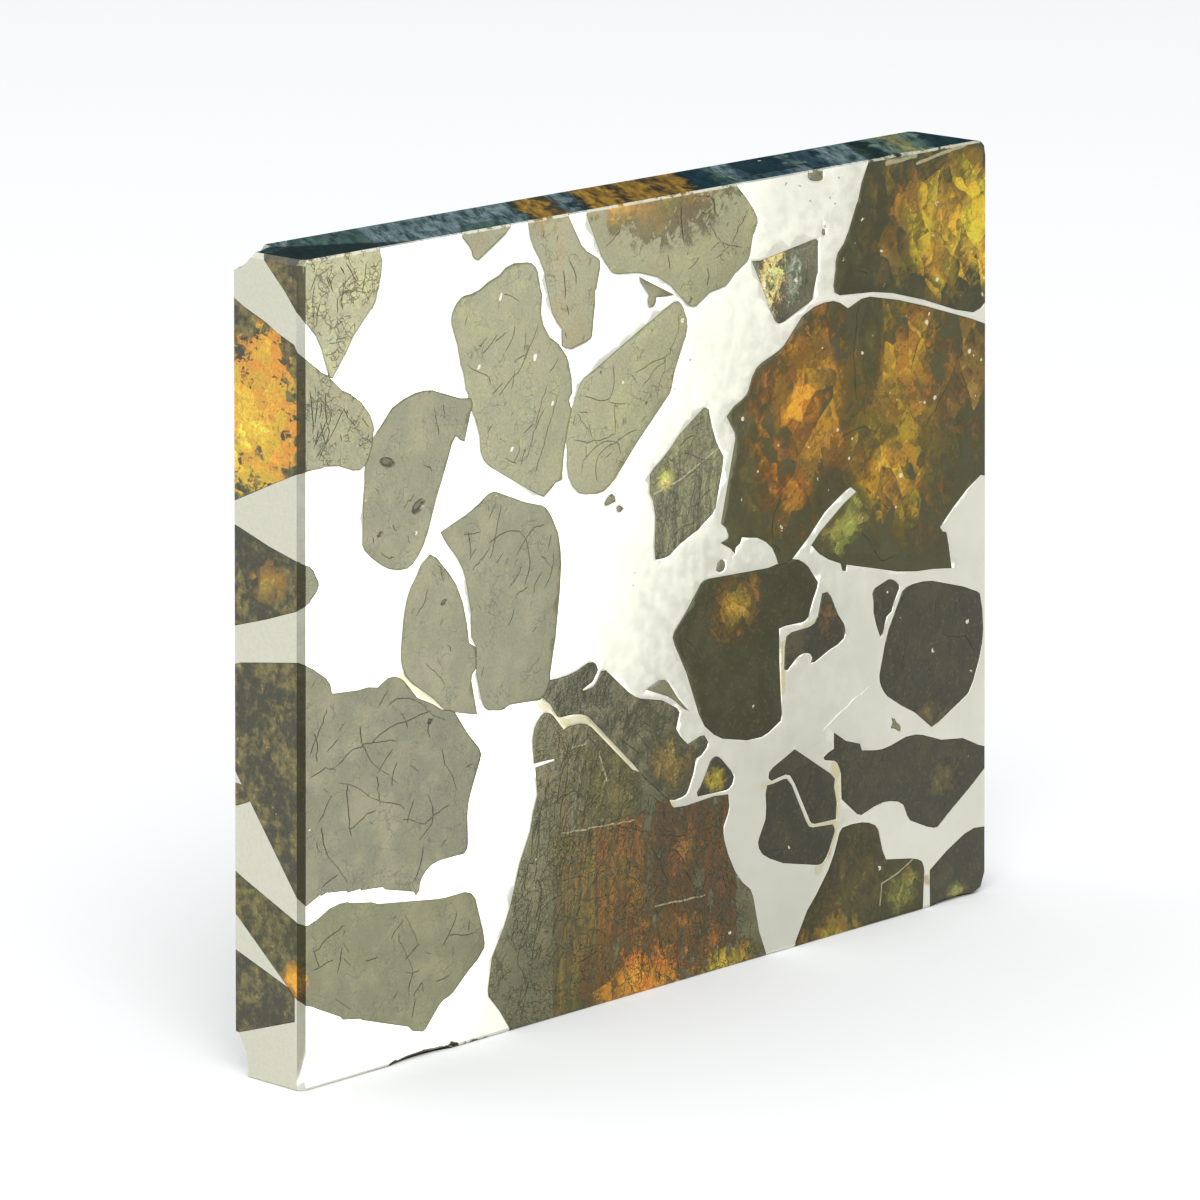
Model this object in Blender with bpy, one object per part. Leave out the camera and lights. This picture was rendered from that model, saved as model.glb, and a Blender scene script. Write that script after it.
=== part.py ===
"""Pallasite meteorite slice: olivine crystals set in a plate of nickel-iron.

The plate stands on its long edge, as sawn and polished. X runs along the width, Y through the
thickness with the polished front face towards -Y, and Z is up. The origin is the middle of the base.
Outlines are drawn on the front face in millimetres, as (x, z) points. Each crystal is a loft from its
front outline to an outline at the back that leans and tapers, so that no crystal runs into another.
"""
import math

import bmesh
import bpy
from mathutils import Vector

MM = 0.001

# Driving dimensions, in millimetres
HEIGHT = 40.05
THICKNESS = 4.6
BASE_LEFT = -25.0
BASE_RIGHT = 25.05
TOP_LEFT = -24.5
TOP_RIGHT = 24.4
CORNER_WEAR = 0.85
TOP_CORNER = 0.25
BASE_CORNER = 0.06
EDGE_CHAMFER = 0.30
FINE_CHAMFER = 0.07
BACK_CHAMFER = 0.10

# How crystals sit in the metal
HALF_GAP = 0.012
OVERSHOOT = 0.12
SHRINK = 0.07
BASE_LEAN = 0.7
TOP_LEAN = 2.3
LEAN_STARTS = 29.0
SIDE_REACH = 8.0
LEFT_FACE = -25.0

# How outlines are rounded
CORNER_ANGLE = math.radians(48)
SAMPLES_PER_SPAN = 8
OUTLINE_TOLERANCE = 0.038

PARTS = "pallasite_meteorite_slice"
CUTTERS = "cutters"

# Colours of the crystals and the metal
METAL = (0.72, 0.71, 0.68)
PALE_OLIVE = (0.33, 0.34, 0.25)
DARK_OLIVE = (0.06, 0.06, 0.035)
AMBER = (0.42, 0.21, 0.03)
BROWN = (0.16, 0.08, 0.03)

# Every crystal: its colour, its outline on the front face, and how it differs from the plain
# through-going crystal. "left_side" moves its top and bottom at the left face's back edge, "span"
# says where it starts and ends through the thickness, from 0 at the front to 1 at the back, and
# "parted_from" names the crystals that it touches.
CRYSTALS = {
    "olivine_top_left_corner": {
        "colour": PALE_OLIVE,
        "left_side": (0.0, 4.5),
        "outline": [
            (-19.4, 43.5), (-19.4, 40.1), (-19.2, 39.5), (-19.3, 38.7), (-19.5, 38.0), (-19.8, 37.3),
            (-20.4, 36.7), (-21.0, 36.2), (-21.4, 35.6), (-21.9, 34.95), (-22.5, 34.25), (-22.75, 34.35),
            (-22.9, 34.75), (-23.15, 35.6), (-23.5, 36.3), (-24.0, 36.9), (-24.6, 37.3), (-25.2, 37.5),
            (-29.5, 37.9), (-29.5, 43.5),
        ],
    },
    "olivine_left_upper": {
        "colour": AMBER,
        "left_side": (2.0, -2.2),
        "parted_from": ["olivine_top_left_corner"],
        "outline": [
            (-29.5, 36.6), (-25.0, 36.0), (-24.3, 35.5), (-23.7, 35.0), (-23.1, 34.55), (-22.7, 34.35),
            (-22.0, 33.65), (-21.3, 33.3), (-20.6, 32.8), (-20.1, 32.2), (-19.85, 31.6), (-19.85, 31.1),
            (-20.05, 30.4), (-20.4, 29.8), (-20.9, 29.62), (-21.5, 29.8), (-22.2, 30.05), (-23.4, 30.15),
            (-24.3, 30.05), (-25.0, 30.1), (-29.5, 30.1),
        ],
    },
    "olivine_top_edge_small": {
        "colour": PALE_OLIVE,
        "span": (0.0, 0.3),
        "outline": [
            (-14.1, 41.5), (-14.05, 40.0), (-13.6, 39.5), (-13.25, 39.0), (-13.2, 38.75), (-12.95, 38.5),
            (-12.7, 38.5), (-12.2, 38.8), (-11.5, 39.15), (-11.1, 39.4), (-10.8, 39.55), (-10.3, 39.9),
            (-10.2, 41.5),
        ],
    },
    "olivine_top_second": {
        "colour": PALE_OLIVE,
        "outline": [
            (-9.4, 43.5), (-9.4, 40.05), (-9.25, 39.4), (-9.0, 38.8), (-8.6, 38.2), (-8.3, 37.6),
            (-8.08, 37.0), (-7.95, 36.3), (-7.75, 35.5), (-7.4, 34.9), (-7.0, 34.45), (-6.98, 34.0),
            (-7.0, 33.65), (-6.7, 33.48), (-6.2, 33.4), (-5.6, 33.55), (-5.0, 33.7), (-4.9, 34.5),
            (-4.75, 35.2), (-4.7, 36.0), (-4.5, 36.6), (-4.33, 37.3), (-4.42, 37.55), (-4.9, 37.8),
            (-5.35, 38.1), (-5.75, 38.5), (-6.05, 39.0), (-6.3, 39.5), (-6.6, 40.05), (-6.7, 43.5),
        ],
    },
    "olivine_top_centre": {
        "colour": AMBER,
        "outline": [
            (-5.3, 43.5), (-5.3, 40.0), (-5.1, 39.4), (-4.8, 38.8), (-4.5, 38.2), (-4.28, 37.75),
            (-3.9, 37.2), (-3.5, 36.8), (-3.0, 36.62), (-2.3, 36.6), (-1.6, 36.52), (-0.9, 36.35),
            (-0.3, 36.15), (0.3, 35.85), (0.8, 35.5), (1.2, 35.1), (1.6, 34.7), (2.0, 34.4),
            (2.5, 34.3), (2.9, 34.55), (3.5, 34.85), (4.1, 34.97), (4.6, 35.0), (5.0, 35.3),
            (5.4, 35.6), (6.0, 35.95), (6.33, 36.15), (6.5, 36.8), (6.7, 37.4), (6.95, 37.8),
            (7.0, 38.1), (6.7, 38.6), (6.2, 39.2), (5.8, 39.6), (5.4, 40.0), (5.2, 43.5),
        ],
    },
    "olivine_top_centre_splinter": {
        "colour": PALE_OLIVE,
        "span": (0.0, 0.45),
        "outline": [
            (-1.62, 36.38), (-1.2, 36.16), (-0.6, 35.92), (0.0, 35.62), (0.5, 35.35), (1.0, 35.1),
            (0.6, 35.05), (0.0, 35.1), (-0.35, 35.13), (-0.4, 34.85), (-0.6, 34.65), (-0.9, 34.65),
            (-1.0, 35.0), (-0.9, 35.3), (-1.1, 35.55), (-1.35, 35.85), (-1.6, 36.2),
        ],
    },
    "olivine_upper_left_large": {
        "colour": PALE_OLIVE,
        "parted_from": ["olivine_left_second"],
        "outline": [
            (-10.9, 37.95), (-10.3, 38.1), (-9.6, 38.05), (-9.1, 37.95), (-8.75, 37.6), (-8.6, 37.1),
            (-8.5, 36.6), (-8.38, 36.3), (-8.46, 35.9), (-8.48, 35.45), (-8.35, 34.95), (-8.1, 34.5),
            (-7.8, 34.1), (-7.3, 33.8), (-6.9, 33.35), (-6.6, 32.9), (-6.45, 32.3), (-6.3, 31.7),
            (-6.32, 31.2), (-6.5, 31.0), (-6.5, 30.7), (-6.35, 30.35), (-6.6, 29.6), (-6.72, 29.0),
            (-6.9, 28.3), (-7.0, 27.6), (-7.05, 27.05), (-7.45, 26.95), (-7.9, 26.65), (-8.3, 26.4),
            (-8.7, 26.55), (-9.2, 26.85), (-9.8, 27.2), (-10.5, 27.55), (-11.3, 28.0), (-12.0, 28.45),
            (-12.4, 28.8), (-12.65, 29.3), (-12.7, 30.0), (-12.9, 30.6), (-13.1, 31.15), (-13.4, 31.5),
            (-13.5, 31.9), (-13.45, 32.15), (-13.65, 32.5), (-13.75, 33.1), (-14.0, 33.8), (-14.15, 34.5),
            (-14.4, 35.2), (-14.6, 35.8), (-14.5, 36.3), (-14.2, 36.7), (-13.8, 36.95), (-13.2, 37.0),
            (-12.6, 37.15), (-12.0, 37.45), (-11.3, 37.65),
        ],
    },
    "olivine_left_second": {
        "colour": PALE_OLIVE,
        "parted_from": ["olivine_left_upper"],
        "outline": [
            (-20.0, 30.95), (-19.5, 31.35), (-19.1, 31.8), (-18.6, 32.25), (-18.0, 32.5), (-17.3, 32.7),
            (-16.6, 32.78), (-15.9, 32.72), (-15.2, 32.5), (-14.5, 32.22), (-13.9, 32.02), (-13.3, 31.95),
            (-13.2, 31.6), (-13.45, 30.9), (-13.62, 30.3), (-13.75, 29.95), (-14.05, 30.08), (-14.35, 30.3),
            (-14.6, 30.0), (-14.85, 29.3), (-15.2, 28.6), (-15.5, 27.9), (-15.75, 27.3), (-16.0, 26.5),
            (-16.35, 25.7), (-16.8, 25.0), (-17.3, 24.5), (-17.8, 24.35), (-18.4, 24.4), (-19.0, 24.6),
            (-19.6, 24.95), (-20.2, 25.4), (-20.6, 25.9), (-20.62, 26.6), (-20.6, 27.3), (-20.55, 28.2),
            (-20.45, 29.0), (-20.45, 29.7), (-20.25, 30.4),
        ],
    },
    "olivine_upper_leaf": {
        "colour": PALE_OLIVE,
        "parted_from": ["olivine_upper_left_large"],
        "outline": [
            (1.2, 34.72), (1.5, 34.5), (1.72, 34.1), (1.9, 33.6), (1.85, 33.1), (1.6, 32.5),
            (1.3, 31.9), (1.0, 31.3), (0.85, 30.8), (0.68, 30.3), (0.3, 29.9), (-0.3, 29.35),
            (-1.0, 28.7), (-1.7, 28.1), (-2.4, 27.4), (-3.0, 26.8), (-3.6, 26.25), (-4.2, 26.0),
            (-5.0, 26.0), (-5.6, 26.1), (-6.1, 26.4), (-6.5, 26.95), (-6.65, 27.6), (-6.65, 28.3),
            (-6.8, 29.0), (-6.7, 29.7), (-6.46, 30.35), (-6.12, 30.9), (-5.8, 31.5), (-5.5, 31.8),
            (-4.9, 32.05), (-4.2, 32.4), (-3.5, 32.75), (-2.8, 33.05), (-2.0, 33.4), (-1.2, 33.8),
            (-0.4, 34.15), (0.3, 34.45), (0.85, 34.7),
        ],
    },
    "olivine_upper_right_triangle": {
        "colour": AMBER,
        "outline": [
            (6.6, 36.0), (6.85, 35.98), (7.2, 35.95), (8.0, 36.1), (9.0, 36.2), (9.8, 36.3),
            (10.6, 36.42), (11.3, 36.52), (11.55, 36.4), (11.5, 35.6), (11.5, 34.8), (11.3, 34.1),
            (11.1, 33.5), (10.6, 33.25), (10.0, 33.02), (9.5, 32.85), (9.0, 32.65), (8.6, 32.6),
            (8.3, 32.8), (8.0, 33.3), (7.7, 33.8), (7.4, 34.4), (7.1, 35.0), (6.85, 35.5),
        ],
    },
    "olivine_top_right_corner": {
        "colour": AMBER,
        "outline": [
            (15.4, 43.5), (15.3, 40.05), (15.1, 39.6), (14.8, 39.0), (14.6, 38.3), (14.3, 37.6),
            (14.0, 37.0), (13.7, 36.4), (13.4, 35.95), (13.0, 35.6), (12.85, 35.2), (12.85, 34.7),
            (12.72, 34.2), (12.7, 33.9), (12.8, 33.6), (13.2, 33.42), (14.0, 33.37), (15.0, 33.32),
            (16.0, 33.22), (17.0, 33.05), (18.0, 32.8), (19.0, 32.52), (20.0, 32.22), (21.0, 31.87),
            (22.0, 31.52), (23.0, 31.25), (23.6, 31.15), (24.1, 31.3), (24.5, 31.6), (24.75, 31.7),
            (29.5, 33.2), (29.5, 43.5),
        ],
    },
    "olivine_right_large": {
        "colour": AMBER,
        "outline": [
            (8.2, 31.05), (8.8, 31.3), (9.4, 31.8), (10.0, 32.4), (10.4, 32.75), (11.0, 33.0),
            (11.6, 33.15), (12.3, 33.2), (12.85, 33.15), (13.4, 32.92), (13.8, 32.65), (14.2, 32.75),
            (14.7, 32.97), (15.2, 33.05), (16.0, 32.95), (17.0, 32.72), (18.0, 32.48), (19.0, 32.2),
            (20.0, 31.9), (21.0, 31.55), (22.0, 31.25), (23.0, 30.95), (24.0, 30.6), (24.8, 30.3),
            (29.5, 28.6), (29.5, 22.3), (24.9, 22.25), (24.65, 22.35), (24.3, 22.5), (23.8, 22.2),
            (23.2, 21.9), (22.5, 21.4), (22.0, 21.0), (21.5, 20.55), (21.1, 20.2), (21.3, 19.95),
            (21.6, 19.85), (21.8, 19.2), (21.9, 18.5), (22.05, 17.9), (21.5, 17.95), (20.6, 18.1),
            (19.6, 18.15), (18.5, 18.3), (17.4, 18.5), (16.4, 18.75), (15.4, 19.05), (14.4, 19.3),
            (13.85, 19.42), (13.8, 19.1), (13.55, 19.15), (13.4, 19.55), (13.0, 19.7), (12.4, 19.95),
            (11.8, 20.3), (11.3, 20.7), (11.15, 20.85), (11.6, 21.3), (12.2, 21.7), (12.8, 22.1),
            (13.4, 22.5), (14.0, 22.85), (14.55, 23.1), (14.35, 23.3), (14.1, 23.4), (13.7, 23.25),
            (13.1, 22.95), (12.5, 22.62), (12.0, 22.3), (11.5, 21.8), (11.0, 21.35), (10.4, 20.9),
            (9.85, 20.5), (9.6, 20.3), (9.2, 20.25), (8.7, 20.2), (8.5, 20.7), (8.2, 21.2),
            (7.7, 21.6), (7.1, 21.9), (6.4, 22.05), (5.95, 22.1), (5.8, 21.8), (5.5, 21.65),
            (5.42, 21.35), (5.2, 21.6), (4.8, 21.85), (4.4, 22.05), (4.9, 22.2), (4.95, 22.4),
            (4.78, 22.75), (4.4, 23.05), (4.5, 23.6), (4.65, 24.2), (4.85, 25.0), (5.0, 25.6),
            (5.2, 26.3), (5.38, 26.9), (5.42, 27.4), (5.1, 27.95), (4.78, 28.42), (5.3, 28.85),
            (5.9, 29.1), (6.3, 29.4), (6.5, 29.9), (6.8, 30.4), (7.2, 30.7), (7.7, 30.88),
        ],
    },
    "olivine_centre_bead": {
        "colour": DARK_OLIVE,
        "span": (0.0, 0.25),
        "outline": [
            (4.0, 20.7), (4.1, 21.1), (4.4, 21.25), (4.7, 21.1), (4.75, 20.8), (4.6, 20.58),
            (4.25, 20.55),
        ],
    },
    "olivine_centre_dark": {
        "colour": DARK_OLIVE,
        "outline": [
            (3.1, 29.1), (3.45, 29.0), (3.6, 28.6), (3.7, 28.1), (3.9, 27.6), (4.1, 27.1),
            (4.4, 26.7), (4.57, 26.4), (4.5, 25.9), (4.3, 25.2), (4.12, 24.5), (3.98, 23.9),
            (3.75, 23.65), (3.3, 23.4), (2.7, 23.0), (2.0, 22.7), (1.4, 22.5), (0.9, 22.2),
            (0.5, 22.0), (0.0, 21.95), (-0.38, 22.0), (-0.45, 22.6), (-0.4, 23.3), (-0.37, 24.0),
            (-0.45, 24.6), (-0.6, 25.1), (-0.8, 25.4), (-0.77, 25.9), (-0.8, 26.3), (-0.5, 26.6),
            (0.0, 26.9), (0.4, 27.2), (0.9, 27.6), (1.3, 28.0), (1.8, 28.3), (2.4, 28.7),
            (2.8, 28.95),
        ],
    },
    "olivine_left_leaf": {
        "colour": PALE_OLIVE,
        "parted_from": ["olivine_left_large", "olivine_left_centre"],
        "outline": [
            (-16.15, 24.8), (-15.75, 24.6), (-15.3, 24.1), (-14.8, 23.6), (-14.35, 23.0), (-14.0, 22.3),
            (-13.8, 21.6), (-13.65, 21.0), (-13.55, 20.3), (-13.5, 20.0), (-13.25, 19.85), (-12.98, 19.65),
            (-12.95, 19.1), (-13.0, 18.7), (-13.3, 18.4), (-13.35, 18.0), (-13.2, 17.3), (-13.02, 16.75),
            (-12.97, 16.38), (-13.5, 16.5), (-14.1, 16.68), (-14.6, 16.75), (-15.1, 16.9), (-15.45, 17.25),
            (-15.75, 17.55), (-16.2, 17.9), (-16.8, 18.27), (-17.3, 18.65), (-17.8, 19.15), (-18.05, 19.7),
            (-18.1, 20.3), (-18.0, 21.2), (-17.9, 22.0), (-17.7, 22.8), (-17.4, 23.4), (-17.0, 23.9),
            (-16.7, 24.4),
        ],
    },
    "olivine_left_centre": {
        "colour": PALE_OLIVE,
        "outline": [
            (-15.4, 25.75), (-14.9, 25.87), (-14.2, 26.1), (-13.4, 26.4), (-12.6, 26.8), (-12.1, 27.1),
            (-11.7, 27.15), (-11.2, 26.95), (-10.4, 26.65), (-9.6, 26.3), (-8.9, 26.1), (-8.3, 25.9),
            (-7.9, 25.5), (-7.6, 25.0), (-7.3, 24.4), (-7.15, 23.6), (-7.1, 22.8), (-7.15, 22.0),
            (-7.25, 21.1), (-7.4, 20.2), (-7.5, 19.3), (-7.7, 18.4), (-7.88, 17.5), (-7.9, 17.1),
            (-8.2, 16.6), (-8.5, 16.35), (-9.0, 16.35), (-9.9, 16.37), (-10.7, 16.45), (-11.2, 16.3),
            (-11.7, 16.35), (-12.3, 16.5), (-12.6, 16.9), (-12.75, 17.4), (-12.9, 18.0), (-13.03, 18.5),
            (-13.05, 19.0), (-13.0, 19.7), (-13.12, 20.0), (-13.33, 20.3), (-13.3, 20.9), (-13.37, 21.6),
            (-13.53, 22.3), (-13.65, 23.0), (-13.9, 23.7), (-14.4, 24.5), (-14.9, 25.05),
        ],
    },
    "olivine_left_edge_small": {
        "colour": BROWN,
        "left_side": (1.4, -1.7),
        "outline": [
            (-29.5, 25.9), (-25.0, 25.75), (-24.5, 25.65), (-24.0, 25.4), (-23.65, 24.9), (-23.55, 24.5),
            (-23.8, 24.1), (-24.2, 23.8), (-24.7, 23.55), (-25.1, 23.3), (-29.5, 22.9),
        ],
    },
    "olivine_left_large": {
        "colour": PALE_OLIVE,
        "left_side": (-0.6, 6.6),
        "outline": [
            (-29.5, 21.4), (-25.0, 21.0), (-24.4, 20.75), (-23.8, 20.4), (-23.2, 20.0), (-22.85, 19.6),
            (-22.72, 19.12), (-22.0, 19.05), (-21.0, 18.98), (-20.3, 19.0), (-19.7, 18.88), (-19.3, 19.05),
            (-19.0, 19.22), (-18.5, 19.2), (-18.0, 18.95), (-17.6, 18.5), (-17.1, 17.95), (-16.5, 17.65),
            (-15.9, 17.35), (-15.4, 17.03), (-14.9, 16.93), (-14.5, 16.75), (-14.1, 16.2), (-13.6, 15.5),
            (-13.1, 15.0), (-12.8, 14.6), (-12.7, 14.3), (-12.9, 13.8), (-13.2, 13.1), (-13.5, 12.4),
            (-13.65, 11.8), (-13.68, 10.9), (-13.65, 9.9), (-13.9, 9.62), (-14.7, 9.62), (-15.5, 9.6),
            (-16.1, 9.5), (-16.6, 9.2), (-16.9, 8.8), (-17.0, 8.35), (-17.2, 8.15), (-17.7, 8.32),
            (-18.4, 8.6), (-19.2, 8.87), (-20.1, 9.02), (-21.0, 9.17), (-21.8, 9.22), (-22.5, 9.37),
            (-23.1, 9.47), (-23.7, 9.35), (-24.3, 9.15), (-25.0, 9.0), (-29.5, 8.0),
        ],
    },
    "olivine_left_lower": {
        "colour": AMBER,
        "left_side": (2.3, 3.7),
        "outline": [
            (-29.5, 7.4), (-25.0, 8.15), (-24.6, 8.1), (-24.0, 8.25), (-23.4, 8.53), (-22.8, 8.73),
            (-22.1, 8.78), (-21.3, 8.65), (-20.4, 8.45), (-19.5, 8.3), (-18.6, 8.15), (-17.8, 8.0),
            (-17.0, 7.88), (-16.2, 7.75), (-15.4, 7.65), (-14.6, 7.65), (-14.0, 7.68), (-13.5, 7.55),
            (-13.2, 7.3), (-13.0, 6.8), (-12.8, 6.1), (-12.6, 5.4), (-12.5, 4.7), (-12.6, 4.5),
            (-13.0, 4.1), (-13.6, 3.7), (-14.2, 3.2), (-14.7, 2.8), (-15.0, 2.65), (-15.4, 2.55),
            (-15.9, 2.15), (-16.3, 1.65), (-16.7, 1.3), (-17.0, 1.3), (-17.5, 1.45), (-18.4, 1.8),
            (-19.3, 2.1), (-20.2, 2.45), (-21.0, 2.75), (-22.0, 2.95), (-22.8, 3.3), (-23.6, 3.75),
            (-24.2, 4.05), (-25.0, 4.3), (-29.5, 4.6),
        ],
    },
    "olivine_left_foot_behind": {
        "colour": BROWN,
        "span": (0.1, 1.0),
        "parted_from": ["olivine_left_lower"],
        "start_scale": 0.3,
        "outline": [
            (-29.5, 6.6), (-25.4, 6.55), (-24.3, 6.15), (-23.35, 5.4), (-22.6, 4.3), (-22.9, 3.2),
            (-23.8, 2.3), (-25.2, 1.7), (-29.5, 1.4),
        ],
    },
    "olivine_left_sliver_behind": {
        "colour": AMBER,
        "span": (0.72, 1.0),
        "start_scale": 0.8,
        "parted_from": ["olivine_left_large"],
        "outline": [
            (-29.5, 14.8), (-25.9, 14.7), (-25.2, 14.4), (-25.0, 13.8), (-25.4, 13.2), (-25.9, 13.0),
            (-29.5, 12.9),
        ],
    },
    "olivine_top_edge_behind": {
        "colour": DARK_OLIVE,
        "span": (0.22, 1.0),
        "start_scale": 0.7,
        "outline": [
            (6.4, 43.5), (6.3, 40.2), (6.9, 39.0), (7.8, 38.1), (9.2, 37.7), (10.5, 38.0),
            (11.3, 38.9), (11.7, 40.2), (11.8, 43.5),
        ],
    },
    "olivine_cluster_upper": {
        "colour": PALE_OLIVE,
        "parted_from": ["olivine_left_centre"],
        "outline": [
            (-8.05, 17.2), (-7.3, 17.15), (-6.6, 17.2), (-6.0, 17.3), (-5.4, 17.52), (-4.95, 17.58),
            (-4.65, 17.42), (-4.5, 17.1), (-4.68, 16.8), (-5.0, 16.5), (-5.6, 16.32), (-5.58, 16.2),
            (-4.9, 16.27), (-4.55, 16.55), (-4.28, 16.98), (-3.95, 16.98), (-3.4, 16.5), (-2.8, 16.0),
            (-2.2, 15.5), (-1.6, 15.15), (-1.0, 15.0), (-0.4, 14.88), (0.2, 14.7), (0.8, 14.35),
            (1.2, 14.15), (1.4, 13.9), (1.25, 13.5), (1.15, 13.1), (1.5, 12.6), (2.0, 12.15),
            (2.4, 12.25), (2.9, 12.4), (3.22, 12.38), (3.5, 12.0), (3.38, 11.7), (3.0, 11.42),
            (2.62, 11.3), (2.55, 10.9), (2.35, 10.4), (2.15, 10.0), (1.9, 9.62), (1.4, 9.5),
            (0.85, 9.48), (0.4, 9.7), (-0.2, 10.25), (-1.2, 11.05), (-1.8, 11.72), (-2.3, 12.17),
            (-3.0, 12.83), (-3.7, 13.53), (-4.3, 14.1), (-4.9, 14.65), (-5.4, 15.0), (-6.0, 15.15),
            (-6.7, 15.2), (-7.28, 15.22), (-7.6, 15.6), (-7.9, 16.0), (-8.4, 16.42),
        ],
    },
    "olivine_lower_centre": {
        "colour": BROWN,
        "parted_from": ["olivine_cluster_upper"],
        "outline": [
            (5.0, 9.0), (5.1, 8.55), (5.0, 8.0), (4.7, 7.5), (4.68, 6.9), (4.88, 6.2),
            (5.2, 5.5), (5.6, 4.8), (6.1, 4.2), (6.7, 3.72), (7.0, 3.0), (7.2, 2.0),
            (7.5, 1.0), (7.9, 0.1), (8.3, -3.5), (-10.3, -3.5), (-10.8, 0.1), (-11.1, 0.6),
            (-11.5, 1.2), (-12.0, 1.8), (-12.3, 2.2), (-12.15, 3.2), (-12.0, 4.0), (-11.6, 4.7),
            (-11.2, 5.3), (-10.9, 5.9), (-10.6, 6.6), (-10.4, 7.3), (-10.1, 8.2), (-9.8, 8.9),
            (-9.4, 9.6), (-9.25, 10.0), (-9.2, 10.4), (-9.0, 11.0), (-8.78, 11.6), (-8.9, 12.3),
            (-8.95, 12.97), (-7.6, 13.05), (-7.6, 13.17), (-9.0, 13.22), (-9.1, 13.7), (-9.1, 14.5),
            (-8.9, 15.1), (-8.4, 15.55), (-7.9, 15.5), (-7.5, 15.17), (-7.25, 14.8), (-6.95, 14.5),
            (-6.5, 14.6), (-5.8, 14.6), (-5.2, 14.43), (-4.6, 13.98), (-3.9, 13.33), (-3.1, 12.58),
            (-2.4, 11.93), (-1.9, 11.5), (-1.1, 11.15), (-0.1, 10.4), (0.55, 9.75), (0.72, 9.4),
            (1.0, 9.07), (1.8, 9.0), (2.5, 9.05), (3.4, 9.1), (4.2, 9.1),
        ],
    },
    "olivine_teardrop": {
        "colour": AMBER,
        "outline": [
            (4.05, 11.15), (4.4, 11.0), (4.8, 10.6), (5.2, 10.2), (5.43, 9.85), (5.28, 9.45),
            (4.9, 9.27), (4.2, 9.3), (3.4, 9.3), (2.75, 9.33), (2.7, 9.55), (2.95, 9.8),
            (3.2, 10.2), (3.45, 10.6), (3.7, 11.0),
        ],
    },
    "olivine_centre_wedge": {
        "colour": DARK_OLIVE,
        "outline": [
            (-1.0, 15.5), (-0.45, 15.7), (0.1, 15.8), (0.5, 15.62), (0.9, 15.15), (1.3, 14.6),
            (1.7, 14.2), (2.1, 13.82), (1.6, 14.1), (1.15, 14.5), (0.6, 14.85), (0.0, 15.12),
            (-0.6, 15.36),
        ],
    },
    "olivine_centre_right": {
        "colour": DARK_OLIVE,
        "parted_from": ["olivine_right_large"],
        "outline": [
            (2.9, 20.2), (3.25, 20.35), (4.0, 20.35), (5.0, 20.3), (6.0, 20.25), (7.0, 20.2),
            (8.0, 20.2), (8.6, 20.3), (9.3, 20.4), (9.9, 20.35), (10.4, 20.15), (10.9, 19.8),
            (11.3, 19.3), (11.68, 18.85), (11.6, 18.55), (11.3, 18.0), (11.1, 17.4), (10.9, 17.1),
            (10.5, 16.97), (9.8, 17.0), (9.1, 17.0), (8.76, 16.95), (8.77, 16.0), (8.8, 15.0),
            (8.87, 14.0), (8.95, 13.0), (9.0, 12.4), (8.9, 12.1), (8.4, 11.85), (7.8, 11.6),
            (7.2, 11.52), (6.5, 11.55), (5.8, 11.7), (5.1, 11.85), (4.4, 12.05), (3.8, 12.4),
            (3.3, 12.8), (2.95, 13.3), (2.62, 14.0), (2.32, 14.8), (2.0, 15.6), (1.62, 16.4),
            (1.2, 17.1), (0.9, 17.7), (0.92, 18.0), (1.3, 18.4), (1.8, 18.9), (2.3, 19.5),
            (2.6, 19.9),
        ],
    },
    "olivine_centre_right_shard": {
        "colour": BROWN,
        "outline": [
            (12.0, 18.2), (12.4, 18.22), (12.7, 17.9), (13.0, 17.3), (13.3, 16.8), (13.68, 16.4),
            (13.8, 16.0), (13.7, 15.6), (13.2, 15.35), (12.6, 15.2), (12.0, 14.95), (11.5, 14.75),
            (11.2, 14.75), (11.3, 15.0), (11.1, 15.25), (10.6, 15.35), (10.0, 15.15), (9.7, 14.85),
            (9.4, 14.67), (9.17, 14.75), (9.2, 15.2), (9.2, 15.9), (9.32, 16.43), (9.7, 16.58),
            (10.5, 16.6), (11.2, 16.65), (11.6, 16.9), (11.8, 17.4), (11.93, 17.9),
        ],
    },
    "olivine_right_small": {
        "colour": DARK_OLIVE,
        "outline": [
            (17.1, 18.1), (17.5, 18.0), (17.88, 17.72), (17.95, 17.5), (17.75, 17.2), (17.47, 16.7),
            (17.35, 16.35), (17.0, 16.2), (16.85, 15.8), (16.7, 15.35), (16.5, 15.2), (16.35, 15.5),
            (16.15, 16.0), (15.97, 16.6), (15.97, 17.1), (15.87, 17.5), (16.03, 17.8), (16.6, 17.95),
        ],
    },
    "olivine_right_lower": {
        "colour": DARK_OLIVE,
        "outline": [
            (18.2, 17.3), (18.7, 17.5), (19.5, 17.55), (20.3, 17.5), (21.2, 17.3), (22.0, 17.05),
            (23.0, 16.75), (24.0, 16.35), (24.33, 16.15), (24.5, 15.5), (24.6, 14.7), (24.6, 13.8),
            (24.45, 13.0), (24.15, 12.2), (23.85, 11.5), (23.5, 11.0), (22.9, 10.7), (22.2, 10.35),
            (21.4, 9.97), (20.9, 9.77), (20.6, 9.7), (20.3, 9.95), (19.8, 10.35), (19.1, 10.82),
            (18.3, 11.22), (17.6, 11.65), (17.0, 12.05), (16.6, 12.6), (16.47, 13.1), (16.62, 13.8),
            (16.87, 14.7), (17.13, 15.4), (17.52, 16.1), (17.9, 16.8),
        ],
    },
    "olivine_right_bowtie": {
        "colour": DARK_OLIVE,
        "outline": [
            (13.0, 10.75), (13.4, 10.5), (13.9, 10.15), (14.5, 9.95), (15.0, 9.8), (15.15, 9.42),
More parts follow.
